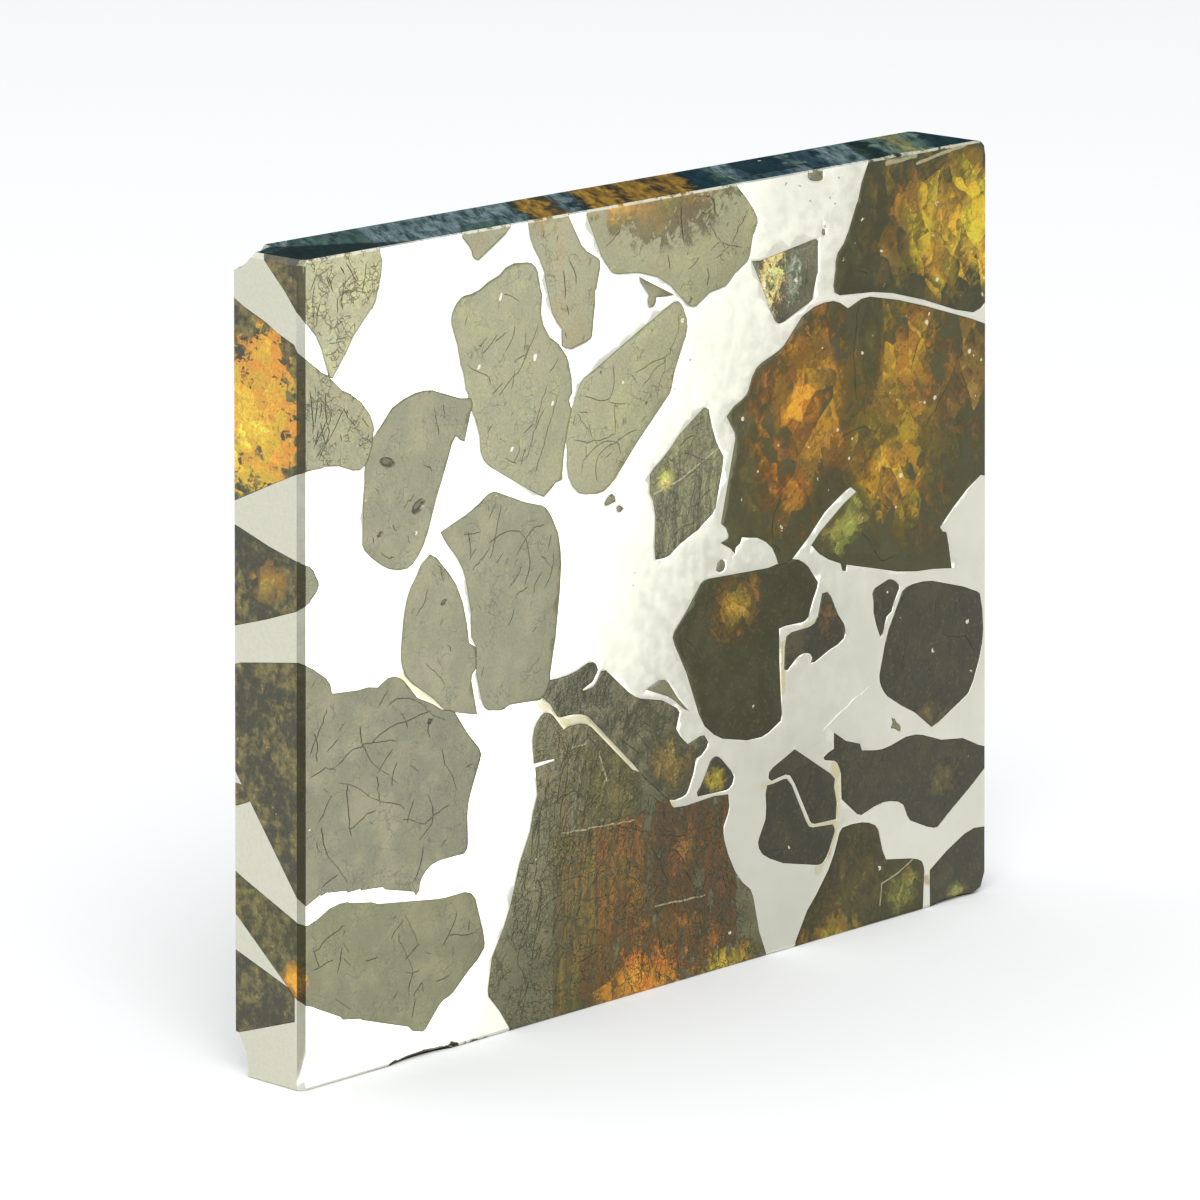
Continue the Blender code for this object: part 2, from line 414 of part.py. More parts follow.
            (15.8, 9.3), (16.6, 9.2), (17.3, 9.25), (18.0, 9.4), (18.6, 9.52), (19.2, 9.52),
            (19.9, 9.38), (20.6, 9.1), (21.4, 8.85), (22.3, 8.7), (23.1, 8.63), (23.8, 8.3),
            (24.5, 8.0), (25.1, 7.85), (29.5, 7.2), (29.5, 6.9), (25.0, 6.75), (24.3, 6.3),
            (23.6, 5.8), (22.8, 5.3), (22.0, 4.8), (21.4, 4.4), (21.1, 4.22), (20.5, 4.35),
            (19.8, 4.65), (19.0, 5.0), (18.7, 5.4), (18.4, 6.0), (17.8, 6.25), (17.0, 6.38),
            (16.3, 6.3), (15.6, 6.15), (15.1, 6.02), (14.7, 6.22), (14.3, 6.6), (13.9, 6.95),
            (13.62, 7.15), (13.6, 7.6), (13.6, 8.1), (13.5, 8.7), (13.2, 9.2), (12.8, 9.35),
            (12.3, 9.45), (12.22, 9.6), (12.6, 9.8), (13.0, 9.9),
        ],
    },
    "olivine_lower_right_upper": {
        "colour": DARK_OLIVE,
        "outline": [
            (10.0, 10.42), (10.4, 10.18), (11.0, 9.78), (11.6, 9.38), (12.2, 8.98), (12.8, 8.6),
            (13.08, 8.3), (13.02, 7.9), (13.22, 7.2), (13.22, 6.5), (13.17, 6.18), (12.4, 6.18),
            (11.7, 6.22), (11.32, 6.32), (11.07, 6.7), (10.72, 7.4), (10.32, 8.1), (9.92, 8.8),
            (9.62, 9.17), (9.3, 9.25), (8.8, 9.17), (8.22, 9.12), (8.03, 9.3), (8.07, 9.58),
            (8.5, 9.85), (9.2, 10.1), (9.6, 10.27),
        ],
    },
    "olivine_lower_right_lower": {
        "colour": DARK_OLIVE,
        "outline": [
            (7.92, 8.92), (8.4, 8.92), (9.0, 9.0), (9.38, 9.0), (9.7, 8.72), (10.1, 8.0),
            (10.5, 7.28), (10.88, 6.5), (11.17, 6.12), (11.7, 6.03), (12.4, 5.97), (12.95, 5.92),
            (13.1, 5.6), (12.97, 5.2), (12.77, 4.8), (12.5, 4.33), (12.1, 4.02), (11.5, 4.07),
            (10.8, 4.22), (10.0, 4.4), (9.2, 4.62), (8.4, 4.95), (7.7, 5.32), (7.37, 5.7),
            (7.28, 6.1), (7.52, 6.6), (7.8, 7.1), (7.87, 7.8), (7.82, 8.5),
        ],
    },
    "olivine_bottom_right": {
        "colour": BROWN,
        "outline": [
            (13.7, 5.6), (14.4, 5.65), (15.2, 5.6), (15.9, 5.42), (16.4, 5.1), (16.62, 4.5),
            (16.82, 3.8), (17.12, 3.25), (17.8, 3.15), (18.6, 3.02), (19.3, 2.87), (19.88, 2.65),
            (20.1, 2.3), (20.17, 1.8), (20.1, 1.2), (20.05, 0.5), (19.9, -3.5), (9.6, -3.5),
            (10.1, 0.1), (10.4, 0.7), (10.8, 1.4), (11.2, 1.95), (11.7, 2.42), (12.1, 2.95),
            (12.6, 3.52), (13.0, 4.2), (13.3, 4.9), (13.48, 5.4),
        ],
    },
    "olivine_bottom_right_corner": {
        "colour": DARK_OLIVE,
        "outline": [
            (20.6, 2.0), (21.1, 2.32), (21.8, 2.72), (22.6, 3.12), (23.4, 3.45), (24.1, 3.6),
            (25.0, 3.52), (29.5, 3.4), (29.5, -3.5), (20.7, -3.5), (20.62, 0.3), (20.6, 1.2),
        ],
    },
    "olivine_right_flake": {
        "colour": BROWN,
        "span": (0.0, 0.2),
        "outline": [
            (17.4, 10.8), (17.65, 10.7), (17.82, 10.45), (18.1, 10.25), (18.27, 9.95), (18.1, 9.85),
            (17.7, 10.1), (17.35, 10.22), (17.5, 10.5),
        ],
    },
    "olivine_centre_fleck_upper": {
        "colour": PALE_OLIVE,
        "span": (0.0, 0.2),
        "outline": [
            (-4.1, 25.35), (-3.9, 25.6), (-3.5, 25.85), (-3.22, 25.6), (-3.2, 25.35), (-3.6, 25.28),
            (-4.0, 25.22),
        ],
    },
    "olivine_centre_fleck_lower": {
        "colour": PALE_OLIVE,
        "span": (0.0, 0.2),
        "outline": [(-3.2, 25.05), (-2.95, 25.12), (-2.65, 24.95), (-2.9, 24.75), (-3.15, 24.85)],
    },
    "olivine_top_edge_fleck": {
        "colour": PALE_OLIVE,
        "span": (0.0, 0.15),
        "outline": [
            (10.6, 41.5), (10.6, 39.75), (10.8, 39.5), (11.5, 39.35), (11.93, 39.42), (11.9, 39.8),
            (11.9, 41.5),
        ],
    },
    "olivine_upper_right_dot": {
        "colour": DARK_OLIVE,
        "span": (0.0, 0.12),
        "outline": [(11.75, 36.72), (11.82, 37.0), (12.05, 36.97), (12.07, 36.67), (11.9, 36.6)],
    },
}

# Chips out of the plate: centre and radii of the lump that each leaves a hollow of
CHIPS = {
    "chip_top_left_behind": ((-24.7, 2.5, 40.7), (2.6, 1.75, 1.7)),
    "chip_bottom_left_behind": ((-25.4, 2.75, 0.3), (2.7, 1.5, 2.1)),
    "chip_bottom_front": ((-16.9, -2.55, -0.12), (2.7, 0.65, 0.52)),
    "chip_bottom_right_front": ((22.6, -2.75, -0.15), (2.6, 0.9, 0.5)),
    "chip_top_front": ((17.8, -2.6, 40.45), (2.3, 0.7, 0.72)),
}


def clear_objects():
    """Empties the scene."""
    for old in list(bpy.data.objects):
        bpy.data.objects.remove(old)


def make_collection(name):
    """A new collection under the scene's own."""
    collection = bpy.data.collections.new(name)
    bpy.context.scene.collection.children.link(collection)
    return collection


def make_material(name, colour, roughness, metallic, transmission=0.0):
    """A plain material with one colour."""
    material = bpy.data.materials.new(name)
    material.use_nodes = True
    shader = material.node_tree.nodes["Principled BSDF"]
    shader.inputs["Base Color"].default_value = (*colour, 1.0)
    shader.inputs["Roughness"].default_value = roughness
    shader.inputs["Metallic"].default_value = metallic
    shader.inputs["Transmission Weight"].default_value = transmission
    shader.inputs["IOR"].default_value = 1.67
    return material


def loft(name, sections, collection):
    """A closed body through sections (y, points), each a ring of as many (x, z) points, in mm."""
    shape = bmesh.new()
    rings = []
    for y, points in sections:
        rings.append([shape.verts.new((x * MM, y * MM, z * MM)) for x, z in points])
    count = len(rings[0])
    for near, far in zip(rings, rings[1:]):
        for i in range(count):
            j = (i + 1) % count
            shape.faces.new((near[i], near[j], far[j]))
            shape.faces.new((near[i], far[j], far[i]))
    shape.faces.new(rings[0])
    shape.faces.new(rings[-1])
    bmesh.ops.recalc_face_normals(shape, faces=shape.faces)
    mesh = bpy.data.meshes.new(name)
    shape.to_mesh(mesh)
    shape.free()
    body = bpy.data.objects.new(name, mesh)
    collection.objects.link(body)
    return body


def boolean(body, operation, other, solver="EXACT"):
    """Cuts a body with another one, which stays a separate object."""
    cut = body.modifiers.new(operation.lower(), "BOOLEAN")
    cut.operation = operation
    cut.solver = solver
    cut.object = other


def as_guide(body):
    """Marks a body that only shapes others."""
    body.hide_render = True
    body.display_type = "WIRE"
    return body


def turn_at(before, here, after):
    """How sharply an outline turns at a point."""
    first = Vector(here) - Vector(before)
    second = Vector(after) - Vector(here)
    if first.length < 1e-6 or second.length < 1e-6:
        return 0.0
    return first.angle(second)


def spline_point(controls, corners, i, t):
    """A point of the rounded outline, a fraction t of the way from control i to the next one."""
    count = len(controls)
    a = Vector(controls[i])
    b = Vector(controls[(i + 1) % count])
    span = b - a
    start = span if corners[i] else (b - Vector(controls[i - 1])) / 2
    end = span if corners[(i + 1) % count] else (Vector(controls[(i + 2) % count]) - a) / 2
    start = start * min(1.0, span.length / max(start.length, 1e-6))
    end = end * min(1.0, span.length / max(end.length, 1e-6))
    t2 = t * t
    t3 = t2 * t
    return (a * (2 * t3 - 3 * t2 + 1) + start * (t3 - 2 * t2 + t)
            + b * (3 * t2 - 2 * t3) + end * (t3 - t2))


def find_corners(controls):
    """True at each control point where the outline has a corner."""
    count = len(controls)
    return [turn_at(controls[i - 1], controls[i], controls[(i + 1) % count]) > CORNER_ANGLE
            for i in range(count)]


def thin_out(points, first, last, kept):
    """Marks which samples are needed to follow the curve between two that are kept."""
    a, b = points[first], points[last]
    line = b - a
    worst, far = 0.0, None
    for k in range(first + 1, last):
        offset = points[k] - a
        if line.length > 1e-9:
            away = abs(line.x * offset.y - line.y * offset.x) / line.length
        else:
            away = offset.length
        if away > worst:
            worst, far = away, k
    if worst > OUTLINE_TOLERANCE:
        kept.add(far)
        thin_out(points, first, far, kept)
        thin_out(points, far, last, kept)


def choose_samples(controls, corners):
    """The places (control, fraction) along an outline that follow its rounded shape."""
    count = len(controls)
    places = [(i, k / SAMPLES_PER_SPAN) for i in range(count) for k in range(SAMPLES_PER_SPAN)]
    points = [spline_point(controls, corners, i, t) for i, t in places]
    points.append(points[0])
    half = len(places) // 2
    kept = {0, half}
    thin_out(points, 0, half, kept)
    thin_out(points, half, len(places), kept)
    return [places[k] for k in sorted(kept) if k < len(places)]


def offset_outline(points, distance):
    """Moves an outline outwards by a small distance, or inwards where that is negative."""
    count = len(points)
    area = sum(points[i - 1].x * points[i].y - points[i].x * points[i - 1].y for i in range(count))
    outwards = 1.0 if area > 0 else -1.0
    moved = []
    for i in range(count):
        before = (points[i] - points[i - 1]).normalized()
        after = (points[(i + 1) % count] - points[i]).normalized()
        normal_before = Vector((before.y, -before.x)) * outwards
        normal_after = Vector((after.y, -after.x)) * outwards
        bisector = normal_before + normal_after
        if bisector.length < 0.5:
            bisector = normal_before
        bisector.normalize()
        reach = distance / max(0.45, bisector.dot(normal_before))
        moved.append(points[i] + bisector * reach)
    return moved


def smooth_step(low, high, value):
    """0 below low, 1 above high, and an even rise between."""
    t = min(1.0, max(0.0, (value - low) / (high - low)))
    return t * t * (3 - 2 * t)


def lean_at(z):
    """How far the crystals at this height lean to +X between the front and the back face."""
    return BASE_LEAN + TOP_LEAN * smooth_step(LEAN_STARTS, HEIGHT, z)


def back_controls(crystal):
    """The outline at the back face: the front one, tapered, leaning and fitted to the left side."""
    front = [Vector(point) for point in crystal["outline"]]
    inside = [p for p in front if abs(p.x) < 26 and -1 < p.y < 41]
    centre = sum(inside, Vector((0.0, 0.0))) / len(inside)
    top_shift, bottom_shift = crystal.get("left_side", (0.0, 0.0))
    edge_heights = [p.y for p in front if p.x < LEFT_FACE + 0.6] or [0.0, 1.0]
    low, high = min(edge_heights), max(edge_heights)
    moved = []
    for point in front:
        tapered = centre + (point - centre) * (1.0 - SHRINK)
        near_side = 1.0 - min(1.0, max(0.0, (point.x - LEFT_FACE) / SIDE_REACH))
        rise = min(1.0, max(0.0, (point.y - low) / (high - low)))
        shift = (bottom_shift * (1 - rise) + top_shift * rise) * near_side
        moved.append(tapered + Vector((lean_at(point.y), shift)))
    return moved


def crystal_sections(crystal, gap):
    """Sections of a crystal through the plate, each moved outwards by the gap."""
    controls = [Vector(point) for point in crystal["outline"]]
    corners = find_corners(controls)
    behind = back_controls(crystal)
    places = choose_samples(controls, corners)
    front = [spline_point(controls, corners, i, t) for i, t in places]
    back = [spline_point(behind, corners, i, t) for i, t in places]
    start, end = crystal.get("span", (0.0, 1.0))
    first = -OVERSHOOT if start == 0.0 else start
    last = 1.0 + OVERSHOOT if end == 1.0 else end
    first_scale = crystal.get("start_scale", 1.0) if start > 0.0 else 1.0
    last_scale = 0.6 if end < 1.0 else 1.0
    sections = []
    for fraction, scale in ((first, first_scale), (last, last_scale)):
        points = [f + (b - f) * fraction for f, b in zip(front, back)]
        centre = sum(points, Vector((0.0, 0.0))) / len(points)
        points = [centre + (p - centre) * scale for p in points]
        grow = gap / THICKNESS
        depth = fraction
        if scale != 1.0 and fraction == first:
            depth -= grow
        if scale != 1.0 and fraction == last:
            depth += grow
        y = THICKNESS * (depth - 0.5)
        sections.append((y, offset_outline(points, gap)))
    return sections


def plate_outline(inset, left_inset):
    """The plate's outline: a sawn rectangle, narrower at the top, with its right corners worn."""
    wear = CORNER_WEAR
    left_base = BASE_LEFT + left_inset
    left_top = TOP_LEFT + left_inset
    right_base = BASE_RIGHT - inset
    right_top = TOP_RIGHT - inset
    top = HEIGHT - inset
    base = inset
    return [
        (left_base + BASE_CORNER, base),
        (right_base - 1.25 * wear, base),
        (right_base - 0.35 * wear, base + 0.3 * wear),
        (right_base, base + 1.2 * wear),
        (right_top, top - 0.9 * wear),
        (right_top - 0.12 * wear, top - 0.38 * wear),
        (right_top - 0.45 * wear, top - 0.08 * wear),
        (right_top - 1.1 * wear, top),
        (left_top + TOP_CORNER, top),
        (left_top, top - TOP_CORNER),
        (left_base, base + BASE_CORNER),
    ]


def make_plate(name, collection):
    """The whole plate with its chamfered edges, before crystals or chips."""
    half = THICKNESS / 2
    sections = [
        (-half, plate_outline(FINE_CHAMFER, EDGE_CHAMFER)),
        (-half + FINE_CHAMFER, plate_outline(0.0, EDGE_CHAMFER - FINE_CHAMFER)),
        (-half + EDGE_CHAMFER, plate_outline(0.0, 0.0)),
        (half - BACK_CHAMFER, plate_outline(0.0, 0.0)),
        (half, plate_outline(BACK_CHAMFER, BACK_CHAMFER)),
    ]
    return loft(name, sections, collection)


def make_chip(name, centre, radii, collection):
    """A faceted lump whose hollow looks like a flake broken off an edge."""
    mesh = bpy.data.meshes.new(name)
    lump = bmesh.new()
    bmesh.ops.create_icosphere(lump, subdivisions=2, radius=1.0)
    for vertex in lump.verts:
        vertex.co = Vector([(c + r * v) * MM for c, r, v in zip(centre, radii, vertex.co)])
    lump.to_mesh(mesh)
    lump.free()
    body = bpy.data.objects.new(name, mesh)
    collection.objects.link(body)
    return as_guide(body)


def make_slice():
    """Builds every crystal and the metal that holds them."""
    parts = make_collection(PARTS)
    cutters = make_collection(CUTTERS)

    plate = as_guide(make_plate("plate_guide", cutters))
    metal = make_plate("metal", parts)
    for name, (centre, radii) in CHIPS.items():
        chip = make_chip(name, centre, radii, cutters)
        boolean(plate, "DIFFERENCE", chip)
        boolean(metal, "DIFFERENCE", chip)

    pocket_of = {}
    for name, crystal in CRYSTALS.items():
        pocket = loft(name + "_pocket", crystal_sections(crystal, HALF_GAP), cutters)
        pocket_of[name] = as_guide(pocket)
    for name, crystal in CRYSTALS.items():
        body = loft(name, crystal_sections(crystal, -HALF_GAP), parts)
        boolean(body, "INTERSECT", plate)
        for neighbour in crystal.get("parted_from", []):
            boolean(body, "DIFFERENCE", pocket_of[neighbour])
        body.data.materials.append(make_material(name, crystal["colour"], 0.12, 0.0, 0.3))

    for pocket in pocket_of.values():
        boolean(metal, "DIFFERENCE", pocket, "MANIFOLD")
    metal.data.materials.append(make_material("nickel_iron", METAL, 0.2, 1.0))


clear_objects()
make_slice()
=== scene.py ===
"""Pallasite meteorite slice: the look of its metal and crystals, on a pale floor.

Positions are in the row frame. Unless a name says otherwise, numbers here are in millimetres: x runs
along the slice's width, y through its thickness with the front face at -2.3, and z up from the base.
"""
import math
import random
from itertools import product

import bmesh
import bpy
from mathutils import Matrix, Vector, bvhtree, geometry, kdtree, noise


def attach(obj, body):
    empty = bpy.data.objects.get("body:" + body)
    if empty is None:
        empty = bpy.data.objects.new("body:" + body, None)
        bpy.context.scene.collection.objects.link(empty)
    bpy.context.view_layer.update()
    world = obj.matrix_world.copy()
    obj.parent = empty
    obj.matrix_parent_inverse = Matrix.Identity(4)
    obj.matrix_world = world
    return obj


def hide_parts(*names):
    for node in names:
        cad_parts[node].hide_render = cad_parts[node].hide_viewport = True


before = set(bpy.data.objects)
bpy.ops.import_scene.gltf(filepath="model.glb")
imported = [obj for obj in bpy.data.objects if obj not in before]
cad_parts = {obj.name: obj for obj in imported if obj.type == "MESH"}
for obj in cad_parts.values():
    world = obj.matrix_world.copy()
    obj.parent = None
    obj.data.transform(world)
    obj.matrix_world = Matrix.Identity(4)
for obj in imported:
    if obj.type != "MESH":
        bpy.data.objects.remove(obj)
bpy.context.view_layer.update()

MM = 0.001
FRONT = -2.3
BACK = 2.3
HEIGHT = 40.05
BODY = "root"
# A zone's radius along y that reaches through the slice
ALL_THROUGH = 12.0

# The crystals lean to +X towards the back: by this much at the base and this much more at the top
BASE_LEAN = 0.7
TOP_LEAN = 2.3
LEAN_STARTS = 29.0

# Camera, read off the photograph's perspective
AZIMUTH = math.radians(-46.5)
ELEVATION = math.radians(12.93)
DISTANCE = 348.96
AIM_RIGHT = -1.338
AIM_UP = -0.478
AIM_HEIGHT = 20.0
LENS = 210.84

# Colours, linear
METAL = (0.70, 0.70, 0.615)
STAIN = (0.42, 0.31, 0.17)
CREAM = (0.66, 0.62, 0.42)
ORANGE = (0.66, 0.25, 0.008)
YELLOW = (0.46, 0.29, 0.012)
GREEN = (0.36, 0.33, 0.06)
BROWN = (0.17, 0.080, 0.006)
DARK = (0.018, 0.018, 0.007)
TAN = (0.34, 0.29, 0.15)
# Painted glints in the crystals
GLINT_SPECK = (0.95, 0.92, 0.72)
CRACK = (0.010, 0.009, 0.005)
METAL_CRACK = (0.2, 0.18, 0.14)
SAWN_METAL = (0.66, 0.65, 0.53)
SAWN_METAL_DULL = (0.62, 0.61, 0.50)
FLOOR = (0.705, 0.712, 0.716)
SKY = (0.98, 0.99, 1.0)
WARM_LIGHT = (1.0, 1.0, 0.97)
BRIGHT = (1.0, 0.47, 0.03)
CHAMFER = (0.012, 0.009, 0.004)
SEAM = (0.60, 0.55, 0.36)
RIM = (0.74, 0.72, 0.58)
# Painted shadow in the chips at the foot of the front
CHIP_SHADOW = (0.030, 0.024, 0.014)
DOT = (0.95, 0.93, 0.84)
MARK = (0.30, 0.30, 0.25)
EDGE_DARK = (0.020, 0.020, 0.008)
EDGE_GOLD = (0.22, 0.175, 0.045)
EDGE_GLINT = (0.55, 0.40, 0.15)

# On the metal these tones are all painted reflection of the dark surroundings; on the crystals, partly.
# The sawn top edge: its few tones, and the bands that they make, each as where it ends and its tone
SAGE = (0.085, 0.150, 0.130)
INK = (0.024, 0.036, 0.034)
GOLD = (0.41, 0.23, 0.034)
UMBER = (0.096, 0.060, 0.024)
NAVY = (0.020, 0.050, 0.070)
MIST = (0.18, 0.29, 0.25)
STRAW = (0.38, 0.38, 0.15)
TOP_BANDS = (
    (-9.3, SAGE), (-8.7, INK), (-7.2, GOLD), (-6.5, UMBER), (-5.6, SAGE), (-4.7, INK), (-2.6, GOLD),
    (-1.9, UMBER), (0.2, GOLD), (0.8, UMBER), (2.6, GOLD), (3.2, INK), (4.7, NAVY), (6.3, SAGE),
    (10.2, NAVY), (10.8, MIST), (12.9, NAVY), (15.4, SAGE), (17.0, INK), (18.3, MIST), (19.4, STRAW),
    (20.4, MIST), (26.0, NAVY),
)
# The dark surroundings' reflection in a crystal's top, and the gain of the metal's painted reflection
TOP_SHEEN = (0.010, 0.025, 0.025)
TOP_METAL_GAIN = (6.9, 5.1, 5.6)
# How much of a tone's own hue the metal's painted reflection keeps
TOP_METAL_TINT = 0.4

# Cream-coloured narrow veins: both ends as x and z, the reach and how pale the colour is
CREAM_VEINS = (
    ((-8.6, 16.4), (-6.85, 14.74), 0.5, 0.62), ((-6.85, 14.74), (-5.29, 14.76), 0.5, 0.62),
    ((-5.29, 14.76), (-4.08, 13.84), 0.45, 0.68), ((-4.08, 13.84), (-1.99, 11.78), 0.4, 0.8),
    ((-1.99, 11.78), (0.85, 9.45), 0.35, 0.95), ((-18.0, 19.1), (-15.2, 17.0), 0.35, 0.5),
    ((13.0, 8.95), (13.32, 7.68), 0.4, 1.0), ((13.32, 7.68), (13.1, 5.8), 0.3, 1.0),
    ((13.0, 5.4), (11.83, 3.74), 0.35, 0.95), ((7.6, 8.96), (9.27, 8.7), 0.25, 1.0),
    ((9.27, 8.7), (10.81, 6.47), 0.25, 1.0), ((10.81, 6.47), (13.2, 5.85), 0.25, 1.0),
    ((8.98, 15.8), (8.99, 13.7), 0.3, 0.9), ((9.0, 16.0), (11.8, 16.9), 0.25, 0.9),
)
# Broken places at the foot of the front, darkened by painted shadow: both ends as x and z, and the reach
SHADOWED_CHIPS = (((-18.9, -0.05), (-14.6, 0.0), 0.34), ((-14.6, -0.1), (-12.4, -0.1), 0.24))
# Small grey marks in the metal's polish: x and z
MARKS = (
    (9.14, 39.58), (10.04, 39.32), (10.79, 38.57), (12.37, 38.57), (13.04, 39.36), (11.93, 37.0),
    (12.67, 38.13), (-1.95, 21.5), (-2.0, 20.9), (1.0, 30.4), (2.1, 31.7),
)
# Tan stains on the metal: x, z and size
STAINS = ((13.2, 8.9, 0.5), (12.4, 4.7, 0.6), (20.4, 1.5, 0.35), (-5.6, 16.4, 0.3))

# Cracks in the polish, how far each piece's rounded border drops, and where the rounding starts and ends
CRACK_REACH = 0.030
CRACK_DEPTH = 0.022
SIDE_CRACK = 0.030
BORDER_DROP = {"metal": 0.009, "crystal": 0.006}
RING_NEAR = 0.04
RING_FAR = 0.12
# The fine mesh of the front and back: its grid, how far that is shaken, and how uneven the polish is
GRID = 0.55
GRID_SHAKE = 0.2
UNEVEN = 0.0025
# Corners this close are one, caps are this flat, and edges stay sharp from this angle
WELD = 0.0008
FLAT = 0.002
SHARP = math.radians(32)
TINY = 1e-6
FAR_OFF = 1e3


class Shade:
    """Builds the nodes of one material. A value is a number, a tuple or the socket that a method gave."""

    def __init__(self, name):
        self.material = bpy.data.materials.new(name)
        self.material.use_nodes = True
        self.tree = self.material.node_tree
        self.shader = self.tree.nodes["Principled BSDF"]

    def node(self, kind, inputs=(), **settings):
        made = self.tree.nodes.new("ShaderNode" + kind)
        for key, value in settings.items():
            setattr(made, key, value)
        for key, value in dict(inputs).items():
            self.feed(made.inputs[key], value)
        return made

    def feed(self, socket, value):
        """Sets an input from another socket or from a plain value."""
        if isinstance(value, bpy.types.NodeSocket):
            self.tree.links.new(value, socket)
        elif isinstance(value, tuple) and len(value) == 3 and socket.type == "RGBA":
            socket.default_value = (*value, 1.0)
        else:
            socket.default_value = value

    def set(self, **inputs):
        """Sets the shader's own inputs, with spaces in their names written as underscores."""
        for key, value in inputs.items():
            self.feed(self.shader.inputs[key.replace("_", " ")], value)

    def math(self, operation, a, b=0.0):
        made = self.node("Math", operation=operation)
        self.feed(made.inputs[0], a)
        self.feed(made.inputs[1], b)
        return made.outputs[0]

    def times(self, a, b):
        return self.math("MULTIPLY", a, b)

    def plus(self, a, b):
        return self.math("ADD", a, b)

    def minus(self, a, b):
        return self.math("SUBTRACT", a, b)

    def vector(self, operation, a, b=(0.0, 0.0, 0.0)):
        made = self.node("VectorMath", operation=operation)
        self.feed(made.inputs[0], a)
        self.feed(made.inputs[1], b)
        return made.outputs["Value" if operation in ("LENGTH", "DOT_PRODUCT") else "Vector"]

    def fade(self, value, low, high, start=0.0, end=1.0):
        """An even change from start to end as value goes from low to high."""
        inputs = {"Value": value, "From Min": low, "From Max": high, "To Min": start, "To Max": end}
        return self.node("MapRange", inputs, interpolation_type="SMOOTHSTEP").outputs["Result"]

    def noise(self, where, scale, detail=4.0, rough=0.55):
        inputs = {"Vector": where, "Scale": scale, "Detail": detail, "Roughness": rough}
        return self.node("TexNoise", inputs).outputs["Fac"]

    def cells(self, where, scale, feature="F1", spread=1.0):
        return self.node("TexVoronoi", {"Vector": where, "Scale": scale, "Randomness": spread},
                         feature=feature)

    def mix(self, amount, a, b):
        made = self.node("Mix", data_type="RGBA")
        self.feed(made.inputs["Factor"], amount)
        self.feed(made.inputs[6], a)
        self.feed(made.inputs[7], b)
        return made.outputs[2]

    def bump(self, height, distance, strength=1.0, under=None):
        inputs = {"Height": height, "Distance": distance * MM, "Strength": strength}
        if under is not None:
            inputs["Normal"] = under
        return self.node("Bump", inputs).outputs["Normal"]

    def position(self):
        """The place on the object in millimetres."""
        return self.scaled(self.node("TexCoord").outputs["Object"], 1 / MM)

    def stretched(self, where, factors, turn=0.0):
        """The place turned about Y by an angle and then stretched along each axis."""
        inputs = {"Vector": where, "Rotation": (0.0, turn, 0.0), "Scale": tuple(1.0 / f for f in factors)}
        return self.node("Mapping", inputs, vector_type="TEXTURE").outputs["Vector"]

    def scaled(self, what, factor):
        """A place or a colour times a factor."""
        made = self.node("VectorMath", operation="SCALE")
        self.feed(made.inputs[0], what)
        self.feed(made.inputs["Scale"], factor)
        return made.outputs["Vector"]

    def shifted(self, where, scale, amount, detail=2.0):
        """The place moved about by a noise, by up to the amount in millimetres."""
        made = self.node("TexNoise", {"Vector": where, "Scale": scale, "Detail": detail})
        centred = self.vector("SUBTRACT", made.outputs["Color"], (0.5, 0.5, 0.5))
        return self.vector("ADD", where, self.scaled(centred, 2 * amount))

    def parts(self, where):
        return self.node("SeparateXYZ", {"Vector": where}).outputs


def straightened(s, where):
    """The place with the crystals' lean taken out, so that a zone runs through the thickness."""
    x, y, z = (s.parts(where)[i] for i in range(3))
    depth = s.math("DIVIDE", s.minus(y, FRONT), BACK - FRONT)
    lean = s.plus(s.fade(z, LEAN_STARTS, HEIGHT, 0.0, TOP_LEAN), BASE_LEAN)
    made = s.node("CombineXYZ")
    s.feed(made.inputs[0], s.minus(x, s.times(lean, depth)))
    s.feed(made.inputs[1], y)
    s.feed(made.inputs[2], z)
    return made.outputs[0]


def zone(s, where, centre, radii, soft=0.55):
    """1 inside an ellipsoid, falling to 0 at its skin."""
    offset = s.vector("DIVIDE", s.vector("SUBTRACT", where, centre), radii)
    return s.fade(s.vector("LENGTH", offset), 1.0, 1.0 - soft)


def panel(s, where, low_x, high_x, low_z, high_z):
    """1 between two upright planes and two level ones."""
    x, z = (s.parts(where)[i] for i in (0, 2))
    across = s.times(s.fade(x, low_x - 0.1, low_x + 0.1), s.fade(x, high_x + 0.1, high_x - 0.1))
    upward = s.times(s.fade(z, low_z - 0.1, low_z + 0.1), s.fade(z, high_z + 0.1, high_z - 0.1))
    return s.times(across, upward)


def facing(s):
    """The way that a face looks, as its three parts."""
    return s.parts(s.node("NewGeometry").outputs["True Normal"])


def side_faces(s):
    """1 on the sawn edges of the slice and 0 on its front and back."""
    return s.fade(s.math("ABSOLUTE", facing(s)[1]), 0.8, 0.5)


def top_faces(s):
    """1 on the sawn top edge and 0 elsewhere."""
    return s.fade(facing(s)[2], 0.6, 0.9)


def chamfers(s):
    """1 on the bevel down the front left edge and any like it, and 0 elsewhere."""
    way = facing(s)
    return s.fade(s.times(way[0], way[1]), 0.3, 0.4)


def near_line(s, where, start, end, radius):
    """1 close to a straight line on the front and 0 beyond the radius."""
    a, b = Vector((start[0], 0.0, start[1])), Vector((end[0], 0.0, end[1]))
    way = b - a
    offset = s.vector("MULTIPLY", s.vector("SUBTRACT", where, tuple(a)), (1.0, 0.0, 1.0))
    along = s.math("DIVIDE", s.vector("DOT_PRODUCT", offset, tuple(way)), way.length_squared)
    along = s.math("MINIMUM", s.math("MAXIMUM", along, 0.0), 1.0)
    foot = s.scaled(tuple(way), along)
    return s.fade(s.vector("LENGTH", s.vector("SUBTRACT", offset, foot)), radius, 0.6 * radius)


